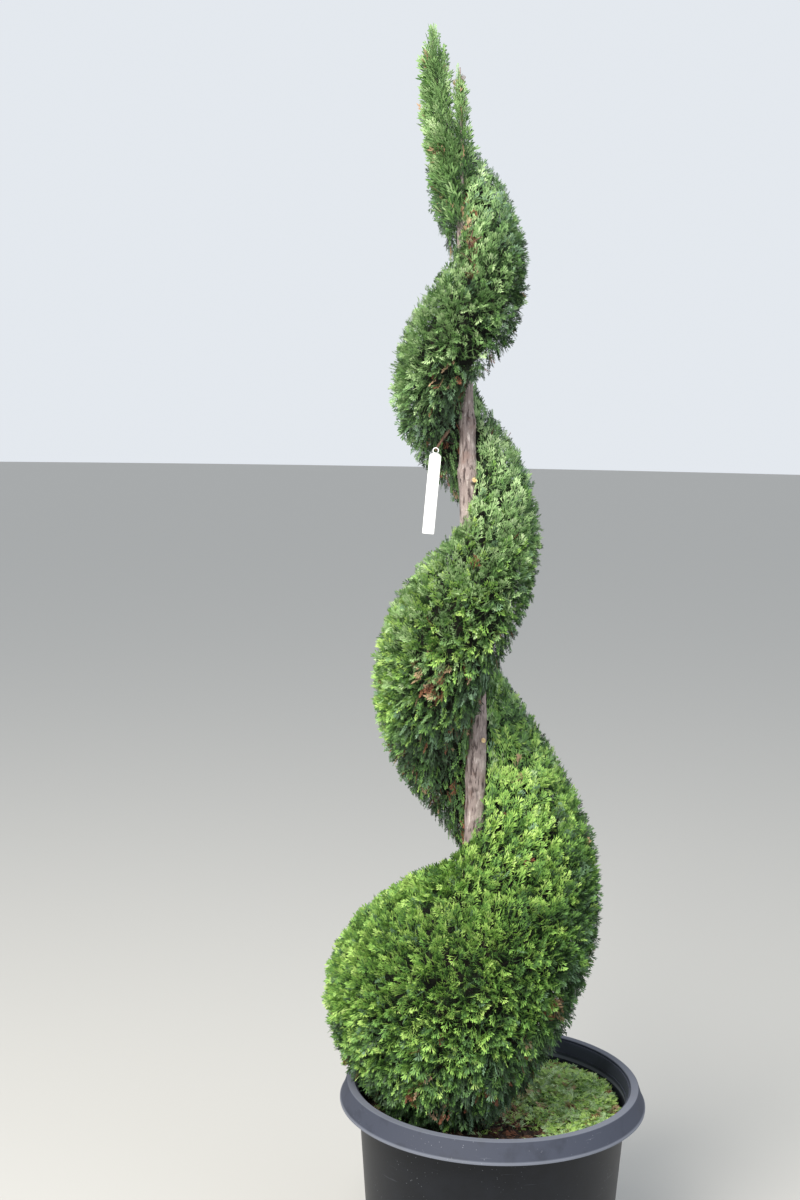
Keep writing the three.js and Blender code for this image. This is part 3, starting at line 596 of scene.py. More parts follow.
# %% Potting mix
def crumbled(name, dark, middle, pale, scale):
    material, tree, shader, place = new_material(name, IOR=1.4, Roughness=0.92)
    crumbs = noise_at(tree, place, scale, 8, 0.7)
    colour = ramp(tree, crumbs, [(0.36, dark), (0.52, middle), (0.7, pale)])
    link_shader(tree, shader, crumbs, 0.9, 0.004, Base_Color=colour)
    return material


MOIST_MIX = crumbled("moist_bark_mix", "#120d0a", "#2c2018", "#4b382a", 170)
DARK_CHIP = crumbled("dark_bark_chip", "#1d1410", "#3a281d", "#584030", 240)
BROWN_CHIP = crumbled("brown_bark_chip", "#3a281c", "#634733", "#876750", 240)
# painted shade: near-black colour for the inner growth body, which lies only in shade
INNER_SHADE = crumbled("shaded_inner_growth", "#060804", "#10140a", "#1e1c10", 60)
print(MOIST_MIX.name, DARK_CHIP.name, BROWN_CHIP.name)


# %% Leaf colours
def scaly_leaf(name, colour, roughness=0.52):
    """Waxy scale leaves, 2 mm long: a plain colour with a broken gloss."""
    material, tree, shader, place = new_material(name, Base_Color=colour, IOR=1.42)
    gloss = noise_at(tree, place, 320, 2)
    rough = remapped(tree, gloss, 0, 1, roughness - 0.14, roughness + 0.16)
    link_shader(tree, shader, cells_at(tree, place, 480), 0.5, 0.0008, Roughness=rough)
    return material


# from the shaded inside to the sunlit tips as painted light and shade, the same but greyer as higher up,
# then a cool tone that is partly painted sky reflection
LEAF_COLOURS = {
    "leaf_shaded": "#30452c",
    "leaf_deep": "#476839",
    "leaf_green": "#628b44",
    "leaf_fresh": "#82ac52",
    "leaf_bright": "#a2c663",
    "leaf_tip": "#b8d27c",
    "leaf_muted_green": "#64864f",
    "leaf_muted_fresh": "#80a266",
    "leaf_muted_bright": "#9dba80",
    "leaf_muted_tip": "#b6cc9a",
    "leaf_cool_and_painted_reflection": "#6c8b6a",
}
DEAD_COLOURS = {"spray_dead_rust": "#7c4e38", "spray_dead_tan": "#a68a6c"}
LEAVES = [scaly_leaf(name, colour) for name, colour in LEAF_COLOURS.items()]
LEAVES += [scaly_leaf(name, colour, 0.7) for name, colour in DEAD_COLOURS.items()]
BRIGHTEST, MUTED, MUTED_TIP, COOL_AND_REFLECTION, RUST, TAN = 5, 6, 9, 10, 11, 12
print("leaf colours:", len(LEAVES))

# %% [markdown]
# ## Trunk
# One stem with its second leader, split only near the top. A grid is wrapped round the trunk line, and
# each point is moved out or in by stretched noise, so the bark's strips, the flare at the foot and the
# two collars are real relief and not only bump.

# %% Trunk with bark relief
TRUNK_AROUND, TRUNK_RINGS = 52, 560


def flare(z, a):
    return 8 * np.exp(-(z - SOIL_Z) / 45) * (1 + 0.3 * np.cos(5 * a))


def bark_relief(x, y, z, radius):
    """Millimetres of relief at a point on the stem."""
    strips = noise.noise(Vector((x * 0.24, y * 0.24, z * 0.018)))
    fissures = abs(noise.noise(Vector((x * 0.11 + 9, y * 0.11, z * 0.011))))
    lumps = noise.noise(Vector((x * 0.03, y * 0.03, z * 0.016 + 40)))
    near_collar = sum(math.exp(-(((z - collar) / 26) ** 2)) for collar in COLLARS)
    wrinkles = near_collar * math.sin(z * 0.9 + 3 * strips)
    relief = 1.7 + 1.1 * strips - 9 * max(0, 0.13 - fissures) + 1.9 * lumps + 0.7 * wrinkles
    return min(1.0, radius / 12) * relief


bm = bmesh.new()
bmesh.ops.create_grid(bm, x_segments=TRUNK_AROUND, y_segments=TRUNK_RINGS, size=0.5)
flat = np.array([v.co for v in bm.verts])
angles = 2 * np.pi * (flat[:, 0] + 0.5)
heights = SOIL_Z + 0.3 + (TRUNK_TIP_Z - SOIL_Z) * (flat[:, 1] + 0.5)
centres = trunk_centre(heights)
radii = trunk_radius(heights) + flare(heights, angles)
for v, a, z, centre, radius in zip(bm.verts, angles, heights, centres, radii):
    x, y = math.cos(a), math.sin(a)
    r = radius + bark_relief(x * radius, y * radius, z, radius)
    v.co = (centre[0] + r * x, centre[1] + r * y, z)
close_seams(bm, 0.02)

STUBS, STUB_TIPS = ((985, -62), (1428, -70), (1854, -48)), []
for height, azimuth in STUBS:
    a = math.radians(azimuth)
    foot = Vector(trunk_centre(height))
    away = Vector((math.cos(a), math.sin(a), 0.35))
    path = [foot, foot + away * 12, foot + away * 18, foot + away * 24]
    add_limb(bm, path, [7.5, 5.6, 4.6, 4.3], 12, material=1)
    STUB_TIPS.append(np.array(path[-1]))

LEADER_FOOT_Z, LEADER_TIP_Z, LEADER_AZIMUTH = 1890, 2106, math.radians(-25)


def second_leader_centre(z):
    t = np.clip((np.asarray(z, float) - LEADER_FOOT_Z) / (LEADER_TIP_Z - LEADER_FOOT_Z), 0, 1)
    away = 42 * t**0.6
    return trunk_centre(z) + away[..., None] * outwards(np.broadcast_to(LEADER_AZIMUTH, t.shape))


def second_leader_radius(z):
    t = np.clip((z - LEADER_FOOT_Z) / (LEADER_TIP_Z - LEADER_FOOT_Z), 0, 1)
    return 3.2 * (1 - 0.65 * t)


leader_heights = np.linspace(LEADER_FOOT_Z, LEADER_TIP_Z, 15)
add_limb(bm, second_leader_centre(leader_heights), second_leader_radius(leader_heights), 8)
trunk_mesh = mesh_from_bmesh(bm)
stems = ["trunk", "second_leader"]
finish_piece("barked_trunk", trunk_mesh, [TRUNK_BARK, CUT_WOOD], stems, smooth_deg=60)
print("trunk faces:", len(trunk_mesh.polygons))

# %% [markdown]
# ## Spray templates
# A spray is a flat fan of scaly fingers that fork near their tips. Each finger is a kite folded along
# its middle, a circle of four corners drawn out, which costs two triangles. A few fans with different
# angles, copied thousands of times, never look alike once turned.

# %% Sprays, twigs and boughs to copy
def add_finger(bm, foot, heading, length, width, grade):
    """Folded kite, blunt at its tip, that starts at foot and points along heading, an angle from +Y."""
    made = bmesh.ops.create_circle(bm, cap_ends=True, segments=4, radius=0.5)["verts"]
    on_ridge = [v for v in made if abs(v.co.x) < 1e-4]
    bmesh.ops.connect_verts(bm, verts=on_ridge)
    for v in made:
        v.co += Vector((0, 0, 0.2)) if v in on_ridge else Vector((0, 0.26, 0))
    place = Matrix.Translation(foot) @ Matrix.Rotation(-heading, 4, "Z")
    sized = Matrix.Diagonal((width, length, width, 1)) @ Matrix.Translation((0, 0.5, 0))
    bmesh.ops.transform(bm, matrix=place @ sized, verts=made)
    for face in {face for v in made for face in v.link_faces}:
        face.material_index = grade


def forked_finger(bm, foot, heading, length, width, grades):
    """Finger with a second one that leaves it half way."""
    side = math.copysign(1, heading)
    add_finger(bm, foot, heading, length, width, grades[0])
    half = Vector(foot) + Vector((math.sin(heading), math.cos(heading), 0)) * 0.42 * length
    add_finger(bm, half, heading - side * 0.55, 0.55 * length, 0.9 * width, grades[1])


def spray_template(seed):
    """Unit fan along +Y. Grades: 0 stalk, 1 side finger, 2 tip."""
    random = np.random.default_rng(seed)
    bm = bmesh.new()
    width = 0.058
    add_finger(bm, (0, 0, 0), random.uniform(-0.08, 0.08), 0.74, 0.045, 0)
    for k in range(5):
        t = k / 4
        heading = (1 if (k + seed) % 2 else -1) * random.uniform(0.6, 1.0) * (1 - 0.25 * t)
        length = (0.46 - 0.12 * t) * random.uniform(0.85, 1.15)
        foot = (0, 0.2 + 0.44 * t, random.uniform(-0.03, 0.03))
        forked_finger(bm, foot, heading, length, width, (1, 2))
    for heading in (-0.4, 0.02, 0.42):
        heading += random.uniform(-0.1, 0.1)
        add_finger(bm, (0, 0.62, 0), heading, random.uniform(0.28, 0.42), width, 2)
    for v in bm.verts:
        v.co.z += 0.12 * v.co.y**2 - 0.6 * v.co.x**2
    return template_arrays(bm)


def long_spray_template(seed, sides=11):
    """Unit plume along +Y, slimmer and longer, as it grows where nobody clips."""
    random = np.random.default_rng(seed)
    bm = bmesh.new()
    add_finger(bm, (0, 0, 0), random.uniform(-0.05, 0.05), 0.86, 0.04, 0)
    for k in range(sides):
        t = k / (sides - 1)
        heading = (1 if (k + seed) % 2 else -1) * random.uniform(0.4, 0.7)
        length = (0.26 - 0.12 * t) * random.uniform(0.75, 1.2)
        foot = (0, 0.1 + 0.72 * t, random.uniform(-0.02, 0.02))
        forked_finger(bm, foot, heading, length, 0.045, (1, 2))
    add_finger(bm, (0, 0.74, 0), random.uniform(-0.08, 0.08), 0.27, 0.045, 2)
    for v in bm.verts:
        v.co.z += 0.1 * v.co.y**2 - 0.4 * v.co.x**2
    return template_arrays(bm)


def limb_template(radius, sides, rings, bend, seed):
    """Unit limb along +Y that rises to its tip in a shallow curve."""
    random = np.random.default_rng(seed)
    path, radii = [], []
    for t in np.linspace(0, 1, rings):
        sway = 0.03 * math.sin(5 * t + random.uniform(0, 1)) * t * (1 - t) * 4
        path.append((sway, t, -bend * math.sin(math.pi * t)))
        radii.append(radius * (1 - 0.7 * t))
    bm = bmesh.new()
    add_limb(bm, path, radii, sides)
    return template_arrays(bm)


SPRAYS = [spray_template(seed) for seed in range(10)]
LONG_SPRAYS = [long_spray_template(seed + 40) for seed in range(6)]
BOUGHS = [limb_template(0.02, 6, 7, 0.1, seed) for seed in range(4)]
TWIGS = [limb_template(0.022, 3, 3, 0.08, seed) for seed in range(4)]
print("triangles: spray", len(SPRAYS[0][1]), "long spray", len(LONG_SPRAYS[0][1]))

# %% [markdown]
# ## Where the sprays grow
# The solids' rule lays each spray over the band like a shingle: its root under the clipped face, its tip
# on it, upwards on the sides and drooping underneath. Here the same rule runs at half the size. An outer
# layer ends on the clipped face, and a layer under it, dealt darker tones as painted shade, fills the
# gaps.

# %% Places on the clipped face
SPRAY_SIZE, SPRAY_SIZE_PER_REACH = 23, 0.03
OUTER_PER_SQUARE_MM, INNER_PER_SQUARE_MM = 0.0135, 0.0045
CLIPPING_SCATTER, SCATTER_LIMITS = 4.5, (-9, 12)
BARE_BESIDE_TRUNK, BARE_ROUND_STUB = 8, 17
ON_TOP_LIFT, UNDERNEATH_LIFT = 0.85, -0.2
# shares of a spray's size: how far it runs along the face, and its greatest length
RUN_ALONG_FACE, LONGEST_SPRAY = 0.62, 1.15
TO_LAMP = np.array(LAMP_PLACE) - [0, 0, 1]
TO_LAMP /= np.linalg.norm(TO_LAMP)


def face_samples(start, end, density, random):
    """Turns and lifts spread evenly over the band's area: cells in rows, dealt by their area."""
    turns = np.linspace(start, end, 15)
    lifts = np.linspace(-1.5, 1.5, 61)
    grid = band_point(turns[:, None], lifts[None, :], 0)
    along_band = np.diff(grid, axis=0)[:, :-1]
    across_band = np.diff(grid, axis=1)[:-1]
    area = np.linalg.norm(np.cross(along_band, across_band), axis=-1)
    area[1::2] = area[1::2, ::-1]
    total = np.cumsum(area.ravel())
    count = int(total[-1] * density)
    picks = (np.arange(count) + random.random(count)) / count * total[-1]
    cell = np.searchsorted(total, picks)
    i, j = np.divmod(np.minimum(cell, area.size - 1), area.shape[1])
    j = np.where(i % 2 == 1, area.shape[1] - 1 - j, j)
    turn = turns[i] + random.random(count) * (turns[1] - turns[0])
    lift = lifts[j] + random.random(count) * (lifts[1] - lifts[0])
    return turn, lift


def from_trunk(points):
    return np.linalg.norm((points - trunk_centre(points[:, 2]))[:, :2], axis=1)


def clear_of_trunk(points, gap):
    """Points moved out where they would lie in the trunk."""
    centre = trunk_centre(points[:, 2])
    away = points - centre
    distance = from_trunk(points)
    least = trunk_radius(points[:, 2]) + gap
    push = np.where(distance < least, least / np.maximum(distance, 1e-3), 1.0)
    moved = points.copy()
    moved[:, :2] = centre[:, :2] + away[:, :2] * push[:, None]
    return moved


def patches(points, size, seed):
    """Soft clusters from -1 to 1, about size millimetres across."""
    random = np.random.default_rng(seed)
    waves = unit(random.normal(size=(9, 3))) * random.uniform(0.7, 1.5, (9, 1)) * (2 * np.pi / size)
    return np.sin(points @ waves.T + random.uniform(0, 6.3, 9)).mean(axis=1) * 2.2


def turned_sides(axis, normal, spread, random):
    """Directions across each spray, turned about it by a random angle."""
    across = unit(np.cross(axis, normal))
    angle = random.normal(0, spread, len(axis))[:, None]
    return across * np.cos(angle) + np.cross(axis, across) * np.sin(angle)


def band_sprays(start, end, density, depth, random):
    """Foots, tips, flat sides, lifts and daylight of one mass's sprays, depth under the clipped face."""
    turn, lift = face_samples(start, end, density, random)
    count = len(turn)
    tip_inset = depth + np.clip(random.normal(0, CLIPPING_SCATTER, count), *SCATTER_LIMITS)
    reach = nose_share(turn) * along(BAND_STATIONS, REACH, turn)
    tall = nose_share(turn) * along(BAND_STATIONS, RISE, turn)
    size = (SPRAY_SIZE + SPRAY_SIZE_PER_REACH * reach) * random.uniform(0.8, 1.25, count)
    heading = random.normal(0, 0.7, count) + 0.5 * patches(band_point(turn, lift, 0), 45, 21)
    droops = lift < UNDERNEATH_LIFT + random.normal(0, 0.45, count)
    heading = np.where(droops, np.pi - heading, heading)
    across = np.where(lift > ON_TOP_LIFT, np.sign(heading), np.sin(heading)) * RUN_ALONG_FACE * size
    across /= 2 * np.pi * np.maximum(reach * np.cos(lift), 30)
    climb = RUN_ALONG_FACE * size * np.cos(heading) * math.sqrt(2) / np.hypot(reach, tall)
    climb = np.where(lift > ON_TOP_LIFT, random.uniform(-0.1, 0.05, count), climb)
    root_inset = depth + 0.8 * size * random.uniform(0.8, 1.2, count)
    root = band_point(turn - across, np.clip(lift - climb, -1.55, 1.55), root_inset)
    tip = band_point(turn, lift, tip_inset)
    hangs_left = (tip[:, 0] < trunk_centre(tip[:, 2])[:, 0] - 2) & (lift < UNDERNEATH_LIFT)
    kept = hangs_left | (from_trunk(tip) > trunk_radius(tip[:, 2]) + BARE_BESIDE_TRUNK)
    for stub_tip in STUB_TIPS:
        kept &= np.linalg.norm(tip - stub_tip, axis=1) > BARE_ROUND_STUB
    root, tip, turn, lift, size = (values[kept] for values in (root, tip, turn, lift, size))
    root = clear_of_trunk(root, 1)
    length = np.linalg.norm(tip - root, axis=1)
    root = tip - (tip - root) * np.minimum(1, LONGEST_SPRAY * size / length)[:, None]
    normal = band_normal(turn, lift)
    sides = turned_sides(unit(tip - root), normal, 0.75, random)
    return root, tip, sides, lift, normal @ TO_LAMP


# where the photo shows dead sprays: place and radius
DEAD_SPOTS = (
    (-134, -115, 1095, 24), (-109, -125, 1121, 18), (-124, -115, 1069, 20), (-142, -90, 1013, 18),
    (74, -215, 757, 18), (91, -170, 586, 20), (154, -60, 625, 22), (-149, -190, 416, 24),
    (-99, -190, 378, 22), (-127, -95, 1593, 18), (-75, -20, 1871, 24), (-57, -70, 1790, 24),
    (-66, -60, 1826, 18),
)
TONE_STEPS = [-0.6, -0.05, 0.45, 1.05]
DEAD_SPOT_SHARE, RUST_SHARE = 0.4, 0.6


def rust_or_tan(random, count):
    return np.where(random.random(count) < RUST_SHARE, RUST, TAN)


def deal_tones(tips, lift, lit, outer, random):
    """Tone of each spray as painted light and shade: bright towards the lamp, darker underneath and near
    the top, in soft clusters, with dead sprays underneath.
    """
    light = 1.1 * lit + 0.22 * patches(tips, 110, 3) + 0.2 * patches(tips, 36, 4)
    light += 0.4 * smooth_step(700, 1200, tips[:, 2]) - 0.2
    light -= 0.6 * smooth_step(1600, 1850, tips[:, 2]) + 0.6 * smooth_step(0.1, 1.0, -lift)
    light += random.normal(-0.06, 0.6, len(lift))
    # painted shade: the inner layer is dealt tones three steps darker
    tone = np.digitize(light, TONE_STEPS) - (0 if outer else 3)
    tone = np.clip(tone, 0, BRIGHTEST - 1)
    # cool tone: a few sprays at random and near the top, and painted sky reflection on sprays turned away
    # from the lamp
    cool_share = 0.03 + 0.25 * (lit < 0.1) * (patches(tips, 70, 6) > 0.2) + 0.2 * (tips[:, 2] > 1850)
    cool = random.random(len(lift)) < cool_share
    muted = random.random(len(lift)) < smooth_step(800, 1500, tips[:, 2])
    tone = np.where(muted & (tone >= 2), tone + MUTED - 2, tone)
    tone = np.where(cool & outer, COOL_AND_REFLECTION, tone)
    near_trunk = 1 - np.abs(np.cos(lift))
    dead_share = 0.003 + 0.1 * near_trunk * (lift < 0) + 0.04 * (patches(tips, 60, 8) > 0.95)
    for *spot, radius in DEAD_SPOTS:
        dead_share += DEAD_SPOT_SHARE * (np.linalg.norm(tips - spot, axis=1) < radius)
    dead = random.random(len(lift)) < dead_share
    return np.where(dead, rust_or_tan(random, len(lift)), tone)


def leaf_materials(tones, grades, random):
    """Material index of each triangle: stalks a tone darker, some tips a tone lighter."""
    lighter = (random.random(grades.shape) < 0.4) & (grades == 2)
    shift = np.where(grades == 0, -1, lighter.astype(int))
    tones = tones[:, None]
    fresh = np.clip(tones + shift, 0, BRIGHTEST)
    muted = np.clip(tones + shift, MUTED, MUTED_TIP)
    return np.where(tones <= BRIGHTEST, fresh, np.where(tones <= MUTED_TIP, muted, tones))


rng = np.random.default_rng(7)
print("sprays for one mass:", len(face_samples(0, 0.25, OUTER_PER_SQUARE_MM, rng)[0]))

# %% [markdown]
# ## Clipped foliage
# Each quarter turn is one piece of leaves, which stands for the CAD mass, and one piece of boughs and
# twigs that carries them. Boughs leave the trunk a little below their tip and rise to just under the
# face. Each twig runs from the nearest bough to its spray.

# %% Boughs and twigs
SIDES = ("back", "left", "front", "right")
SEAMS = [-0.5] + list(np.arange(-0.375, BAND_END - 0.1, 0.25)) + [BAND_END]
BOUGH_LIFTS = np.array([-1.15, -0.75, -0.35, 0.05, 0.45, 0.85, 1.2])
BOUGHS_PER_TURN, TWIG_EVERY, LEAST_TWIG = 18, 6, 6
FORK_SHARES = np.array([0.35, 0.5, 0.62, 0.74, 0.85, 0.94])
PLUME_SHARE, INNER_LAYER_DEPTH = 0.65, 18


def mass_boughs(start, end, random):
    """Foots and tips of a mass's boughs."""
    count = max(3, round((end - start) * BOUGHS_PER_TURN))
    turns = start + (end - start) * (np.arange(count) + 0.5) / count
    turn, lift = (grid.ravel() for grid in np.meshgrid(turns, BOUGH_LIFTS))
    turn = turn + random.uniform(-0.015, 0.015, len(turn))
    lift = lift + random.uniform(-0.15, 0.15, len(lift))
    depth = 22 + 0.06 * along(BAND_STATIONS, REACH, turn)
    tip = clear_of_trunk(band_point(turn, lift, depth), 6)
    out = np.linalg.norm((tip - trunk_centre(tip[:, 2]))[:, :2], axis=1)
    foot_z = np.clip(tip[:, 2] - 0.3 * out - 8, SOIL_Z + 8, TRUNK_TIP_Z - 60)
    foot = trunk_centre(foot_z) + 0.6 * trunk_radius(foot_z)[:, None] * outwards(azimuth_of(turn))
    return foot, tip


def nearest_on_boughs(points, foots, tips):
    """For each point, the nearest of the places where a bough can fork, on the trunk's side of it."""
    forks = (foots[:, None] + (tips - foots)[:, None] * FORK_SHARES[None, :, None]).reshape(-1, 3)
    forks[:, 2] -= 0.02 * np.repeat(np.linalg.norm(tips - foots, axis=1), len(FORK_SHARES))
    gap = np.linalg.norm(points[:, None] - forks[None], axis=2)
    gap += 0.25 * (forks[None, :, 2] - points[:, None, 2])
    return forks[np.argmin(gap, axis=1)]


def wooden_copies(templates, foots, tips, widths, random):
    """Copies of limbs that hang in a plane through the upright."""
    upright = np.broadcast_to([0.0, 0.0, 1.0], foots.shape)
    sides = unit(np.cross(tips - foots, upright) + 1e-6)
    choice = random.integers(0, len(templates), len(foots))
    return joined_copies(templates, choice, foots, frames_from(foots, tips, sides, widths))


def join_arrays(groups):
    """One set of points, triangles and material indices from several."""
    points, triangles, materials, shift = [], [], [], 0
    for group_points, group_triangles, group_materials in groups:
        points.append(group_points)
        triangles.append(group_triangles + shift)
        materials.append(np.asarray(group_materials).ravel())
        shift += len(group_points)
    return np.concatenate(points), np.concatenate(triangles), np.concatenate(materials)


print("masses:", len(SEAMS) - 1)


# %% Masses of the spiral
def lay_sprays(templates, roots, tips, sides, tones, random, width=1.0):
    """Copied sprays with the material index of each triangle."""
    choice = random.integers(0, len(templates), len(roots))
    widths = width * random.uniform(0.8, 1.2, len(roots))
    axes = frames_from(roots, tips, sides, widths)
    points, triangles, grades = joined_copies(templates, choice, roots, axes)
    return points, triangles, leaf_materials(tones, grades, random)


def make_mass(name, start, end, seed):
    random = np.random.default_rng(seed)
    groups, roots = [], []
    layers = ((True, OUTER_PER_SQUARE_MM, 0), (False, INNER_PER_SQUARE_MM, INNER_LAYER_DEPTH))
    for outer, density, depth in layers:
        root, tip, side, lift, lit = band_sprays(start, end, density, depth, random)
        tones = deal_tones(tip, lift, lit, outer, random)
        plumes = random.random(len(lift)) < PLUME_SHARE * smooth_step(0.1, 0.6, -lift)
        for templates, these in ((SPRAYS, ~plumes), (LONG_SPRAYS, plumes)):
            laid = (values[these] for values in (root, tip, side, tones))
            groups.append(lay_sprays(templates, *laid, random))
        roots.append(root)
    leaves = mesh_from_arrays(*join_arrays(groups))
    finish_piece("leaves_" + name, leaves, LEAVES, ["foliage_" + name])
    foots, tips = mass_boughs(start, end, random)
    carried = np.concatenate(roots)[::TWIG_EVERY]
    forks = nearest_on_boughs(carried, foots, tips)
    far = np.linalg.norm(carried - forks, axis=1) > LEAST_TWIG
    wood = [
        wooden_copies(BOUGHS, foots, tips, np.ones(len(foots)), random),
        wooden_copies(TWIGS, forks[far], carried[far], np.ones(far.sum()), random),
    ]
    wooden = mesh_from_arrays(*join_arrays(wood))
    finish_piece("twigs_" + name, wooden, [SHADED_BARK])
    return len(leaves.polygons), len(wooden.polygons)


leaf_total, wood_total = 0, 0
for i, (start, end) in enumerate(zip(SEAMS, SEAMS[1:])):
    mass_name = f"{i // 4 + 1}_{SIDES[i % 4]}"
    leaf_count, wood_count = make_mass(mass_name, float(start), float(end), 100 + i)
    leaf_total += leaf_count
    wood_total += wood_count
    print(mass_name, leaf_count, wood_count)
print("triangles in leaves", leaf_total, "and in twigs", wood_total)

# %% [markdown]
# ## Shaded growth inside
# A clipped evergreen is dense: nothing is seen through it, only brown and green shade. One rough body
# well under the face stands for that dense growth, made from a grid wrapped over the band, and its
# near-black colour is painted shade. It ends before the loose tip, where the sky shows through.

# %% Inner growth
INNER_END = 2.42


def inner_depth(turn):
    return 22 + 0.11 * along(BAND_STATIONS, REACH, turn)


bm = bmesh.new()
bmesh.ops.create_grid(bm, x_segments=190, y_segments=46, size=0.5)
flat = np.array([v.co for v in bm.verts])
turns = BAND_START + 0.03 + (INNER_END - BAND_START - 0.03) * (flat[:, 0] + 0.5)
surface = band_point(turns, np.pi * flat[:, 1], inner_depth(turns))
bm.verts.index_update()
open_edges = [e for e in bm.edges if e.is_boundary]
beside_trunk = [e for e in open_edges if all(abs(flat[v.index, 1]) > 0.49 for v in e.verts)]
bmesh.ops.bridge_loops(bm, edges=beside_trunk)
bm.verts.ensure_lookup_table()
for v, point in zip(bm.verts, surface):
    point = Vector(point)
    rough, uneven = noise.noise(point * 0.06), noise.noise(point * 0.07 + Vector((9, 9, 9)))
    v.co = point + Vector((rough, uneven, rough)) * 5
close_seams(bm, 0.05)
inner_mesh = mesh_from_bmesh(bm)
finish_piece("inner_growth", inner_mesh, [INNER_SHADE], smooth_deg=80)
print("inner growth faces:", len(inner_mesh.polygons))

# %% [markdown]
# ## Loose tip
# Nobody clips the top: long sprays rise round both leaders, close on the stem and open at the edge, with
# sky between them. Short twigs carry them out from the leader.

# %% Tufts round the two leaders
# height, sideways place of the tuft's middle, radius
TUFT_STATIONS = np.array([
    (1830, -98, 17), (1895, -108, 30), (1960, -116, 31), (2023, -128, 32),
    (2087, -133, 26), (2125, -135, 22), (2150, -137, 11), (2178, -139, 3),
])
TUFT_TOP_Z, SIDE_TUFT_TOP_Z, SIDE_TUFT_R = 2178, 2116, 15


def tuft_point(z, azimuth, share):
    """Point at a share of the way out to the face of the tuft round the tip."""
    middle = np.stack([along(TUFT_STATIONS, 1, z), 0 * z, np.minimum(z, TUFT_TOP_Z)], axis=-1)
    return middle + (along(TUFT_STATIONS, 2, z) * share)[:, None] * outwards(azimuth)


def side_tuft_point(z, azimuth, share):
    """The same for the slim tuft round the second leader."""
    low = np.minimum(z, SIDE_TUFT_TOP_Z)
    slimmer = 1.7 - 1.2 * smooth_step(1940, 2085, z)
    return second_leader_centre(low) + (SIDE_TUFT_R * share * slimmer)[:, None] * outwards(azimuth)


def tuft_sprays(leader, heights, azimuths, count, random):
    """Leader places, spray roots and tips of one tuft."""
    centre_of, radius_of, face_of = leader
    a = np.radians(azimuths[0] + (azimuths[1] - azimuths[0]) * ((np.arange(count) * 0.618 + 0.1) % 1))
    low = heights[0] + (heights[1] - heights[0]) * (np.arange(count) + random.random(count)) / count
    rise = random.uniform(26, 52, count)
    stem = centre_of(low) + radius_of(low)[:, None] * outwards(a)
    ragged = 1 + 0.8 * smooth_step(2105, 2165, low + rise)
    tip = face_of(low + rise, a, random.uniform(0.6, 1.05, count) * ragged)
    root = stem + (tip - stem) * random.uniform(0.02, 0.3, count)[:, None]
    return stem, root, tip


def make_tuft(name, node, parts, seed):
    random = np.random.default_rng(seed)
    groups, wood = [], []
    for templates, leader, heights, azimuths, count in parts:
        stem, root, tip = tuft_sprays(leader, heights, azimuths, count, random)
        axis = unit(tip - root)
        normal = unit(np.cross(axis, np.broadcast_to([0.0, 0.0, 1.0], axis.shape)))
        sides = turned_sides(axis, normal, 0.9, random)
        # painted light and shade: tones brighter at the left, towards the lamp, and higher up
        light = 0.5 * patches(tip, 50, 5) + random.normal(0.3, 0.6, count) - 0.008 * (tip[:, 0] + 125)
        light += 0.4 * smooth_step(1880, 1980, tip[:, 2]) - 0.4
        tones = np.clip(np.digitize(light, [-0.9, -0.3, 0.4, 1.1]), 0, 4)
        tones = np.where(tones >= 2, tones + MUTED - 2, tones)
        tones = np.where(random.random(count) < 0.03, TAN, tones)
        groups.append(lay_sprays(templates, root, tip, sides, tones, random, width=1.15))
        far = np.linalg.norm(root - stem, axis=1) > 3
        wood.append(wooden_copies(TWIGS, stem[far], root[far], np.full(far.sum(), 1.6), random))
    leaves = mesh_from_arrays(*join_arrays(groups))
    finish_piece("leaves_" + name, leaves, LEAVES, [node])
    wooden = mesh_from_arrays(*join_arrays(wood))
    finish_piece("twigs_" + name, wooden, [TWIG_BARK])
    return len(leaves.polygons)


tip_leader = (trunk_centre, trunk_radius, tuft_point)
side_leader = (second_leader_centre, second_leader_radius, side_tuft_point)
tip_parts = [
    (SPRAYS, tip_leader, (1835, 1900), (200, 330), 46),
    (SPRAYS, tip_leader, (1880, 1980), (190, 320), 90),
    (SPRAYS, tip_leader, (1940, 2100), (0, 360), 235),
    (LONG_SPRAYS, tip_leader, (1960, 2080), (0, 360), 36),
    (LONG_SPRAYS, tip_leader, (2080, 2142), (0, 360), 34),
]
side_parts = [
    (SPRAYS, side_leader, (1900, 2060), (0, 360), 104),
    (LONG_SPRAYS, side_leader, (1960, 2078), (0, 360), 16),
]
print(make_tuft("tip", "tip_tuft", tip_parts, 301), make_tuft("side", "side_tuft", side_parts, 302))

# %% [markdown]
# ## Potting mix, bark chips and clippings
# The mix is uneven with bark crumbs of 6 to 18 mm. Clippings from the last trim lie in a soft heap at the
# right and back, mostly green, some already rust brown. The body is spun like the pot, its top is
# roughened by noise, and chips and clippings are copied over it.

# %% Mix and chips
HEAP_AT, HEAP_R, HEAP_HEIGHT = (150, 70), 75, 14
MIX_EDGE_R = pot_inner_radius(SOIL_Z - 8) - 0.6
CHIP_COUNT, CHIP_LENGTHS, BROWN_SHARE = 1500, (5, 17), 0.3


def mix_top(x, y):
    """Height of the mix with its heap."""
    share = np.hypot(x, y) / MIX_EDGE_R
    drop = 8 * share**2 * (0.6 + 0.4 * smooth_step(0.8, 1.0, share))
    away = np.hypot(x - HEAP_AT[0], y - HEAP_AT[1]) / HEAP_R
    return SOIL_Z - drop + HEAP_HEIGHT * np.exp(-(away**2)) * smooth_step(60, 110, share * MIX_EDGE_R)


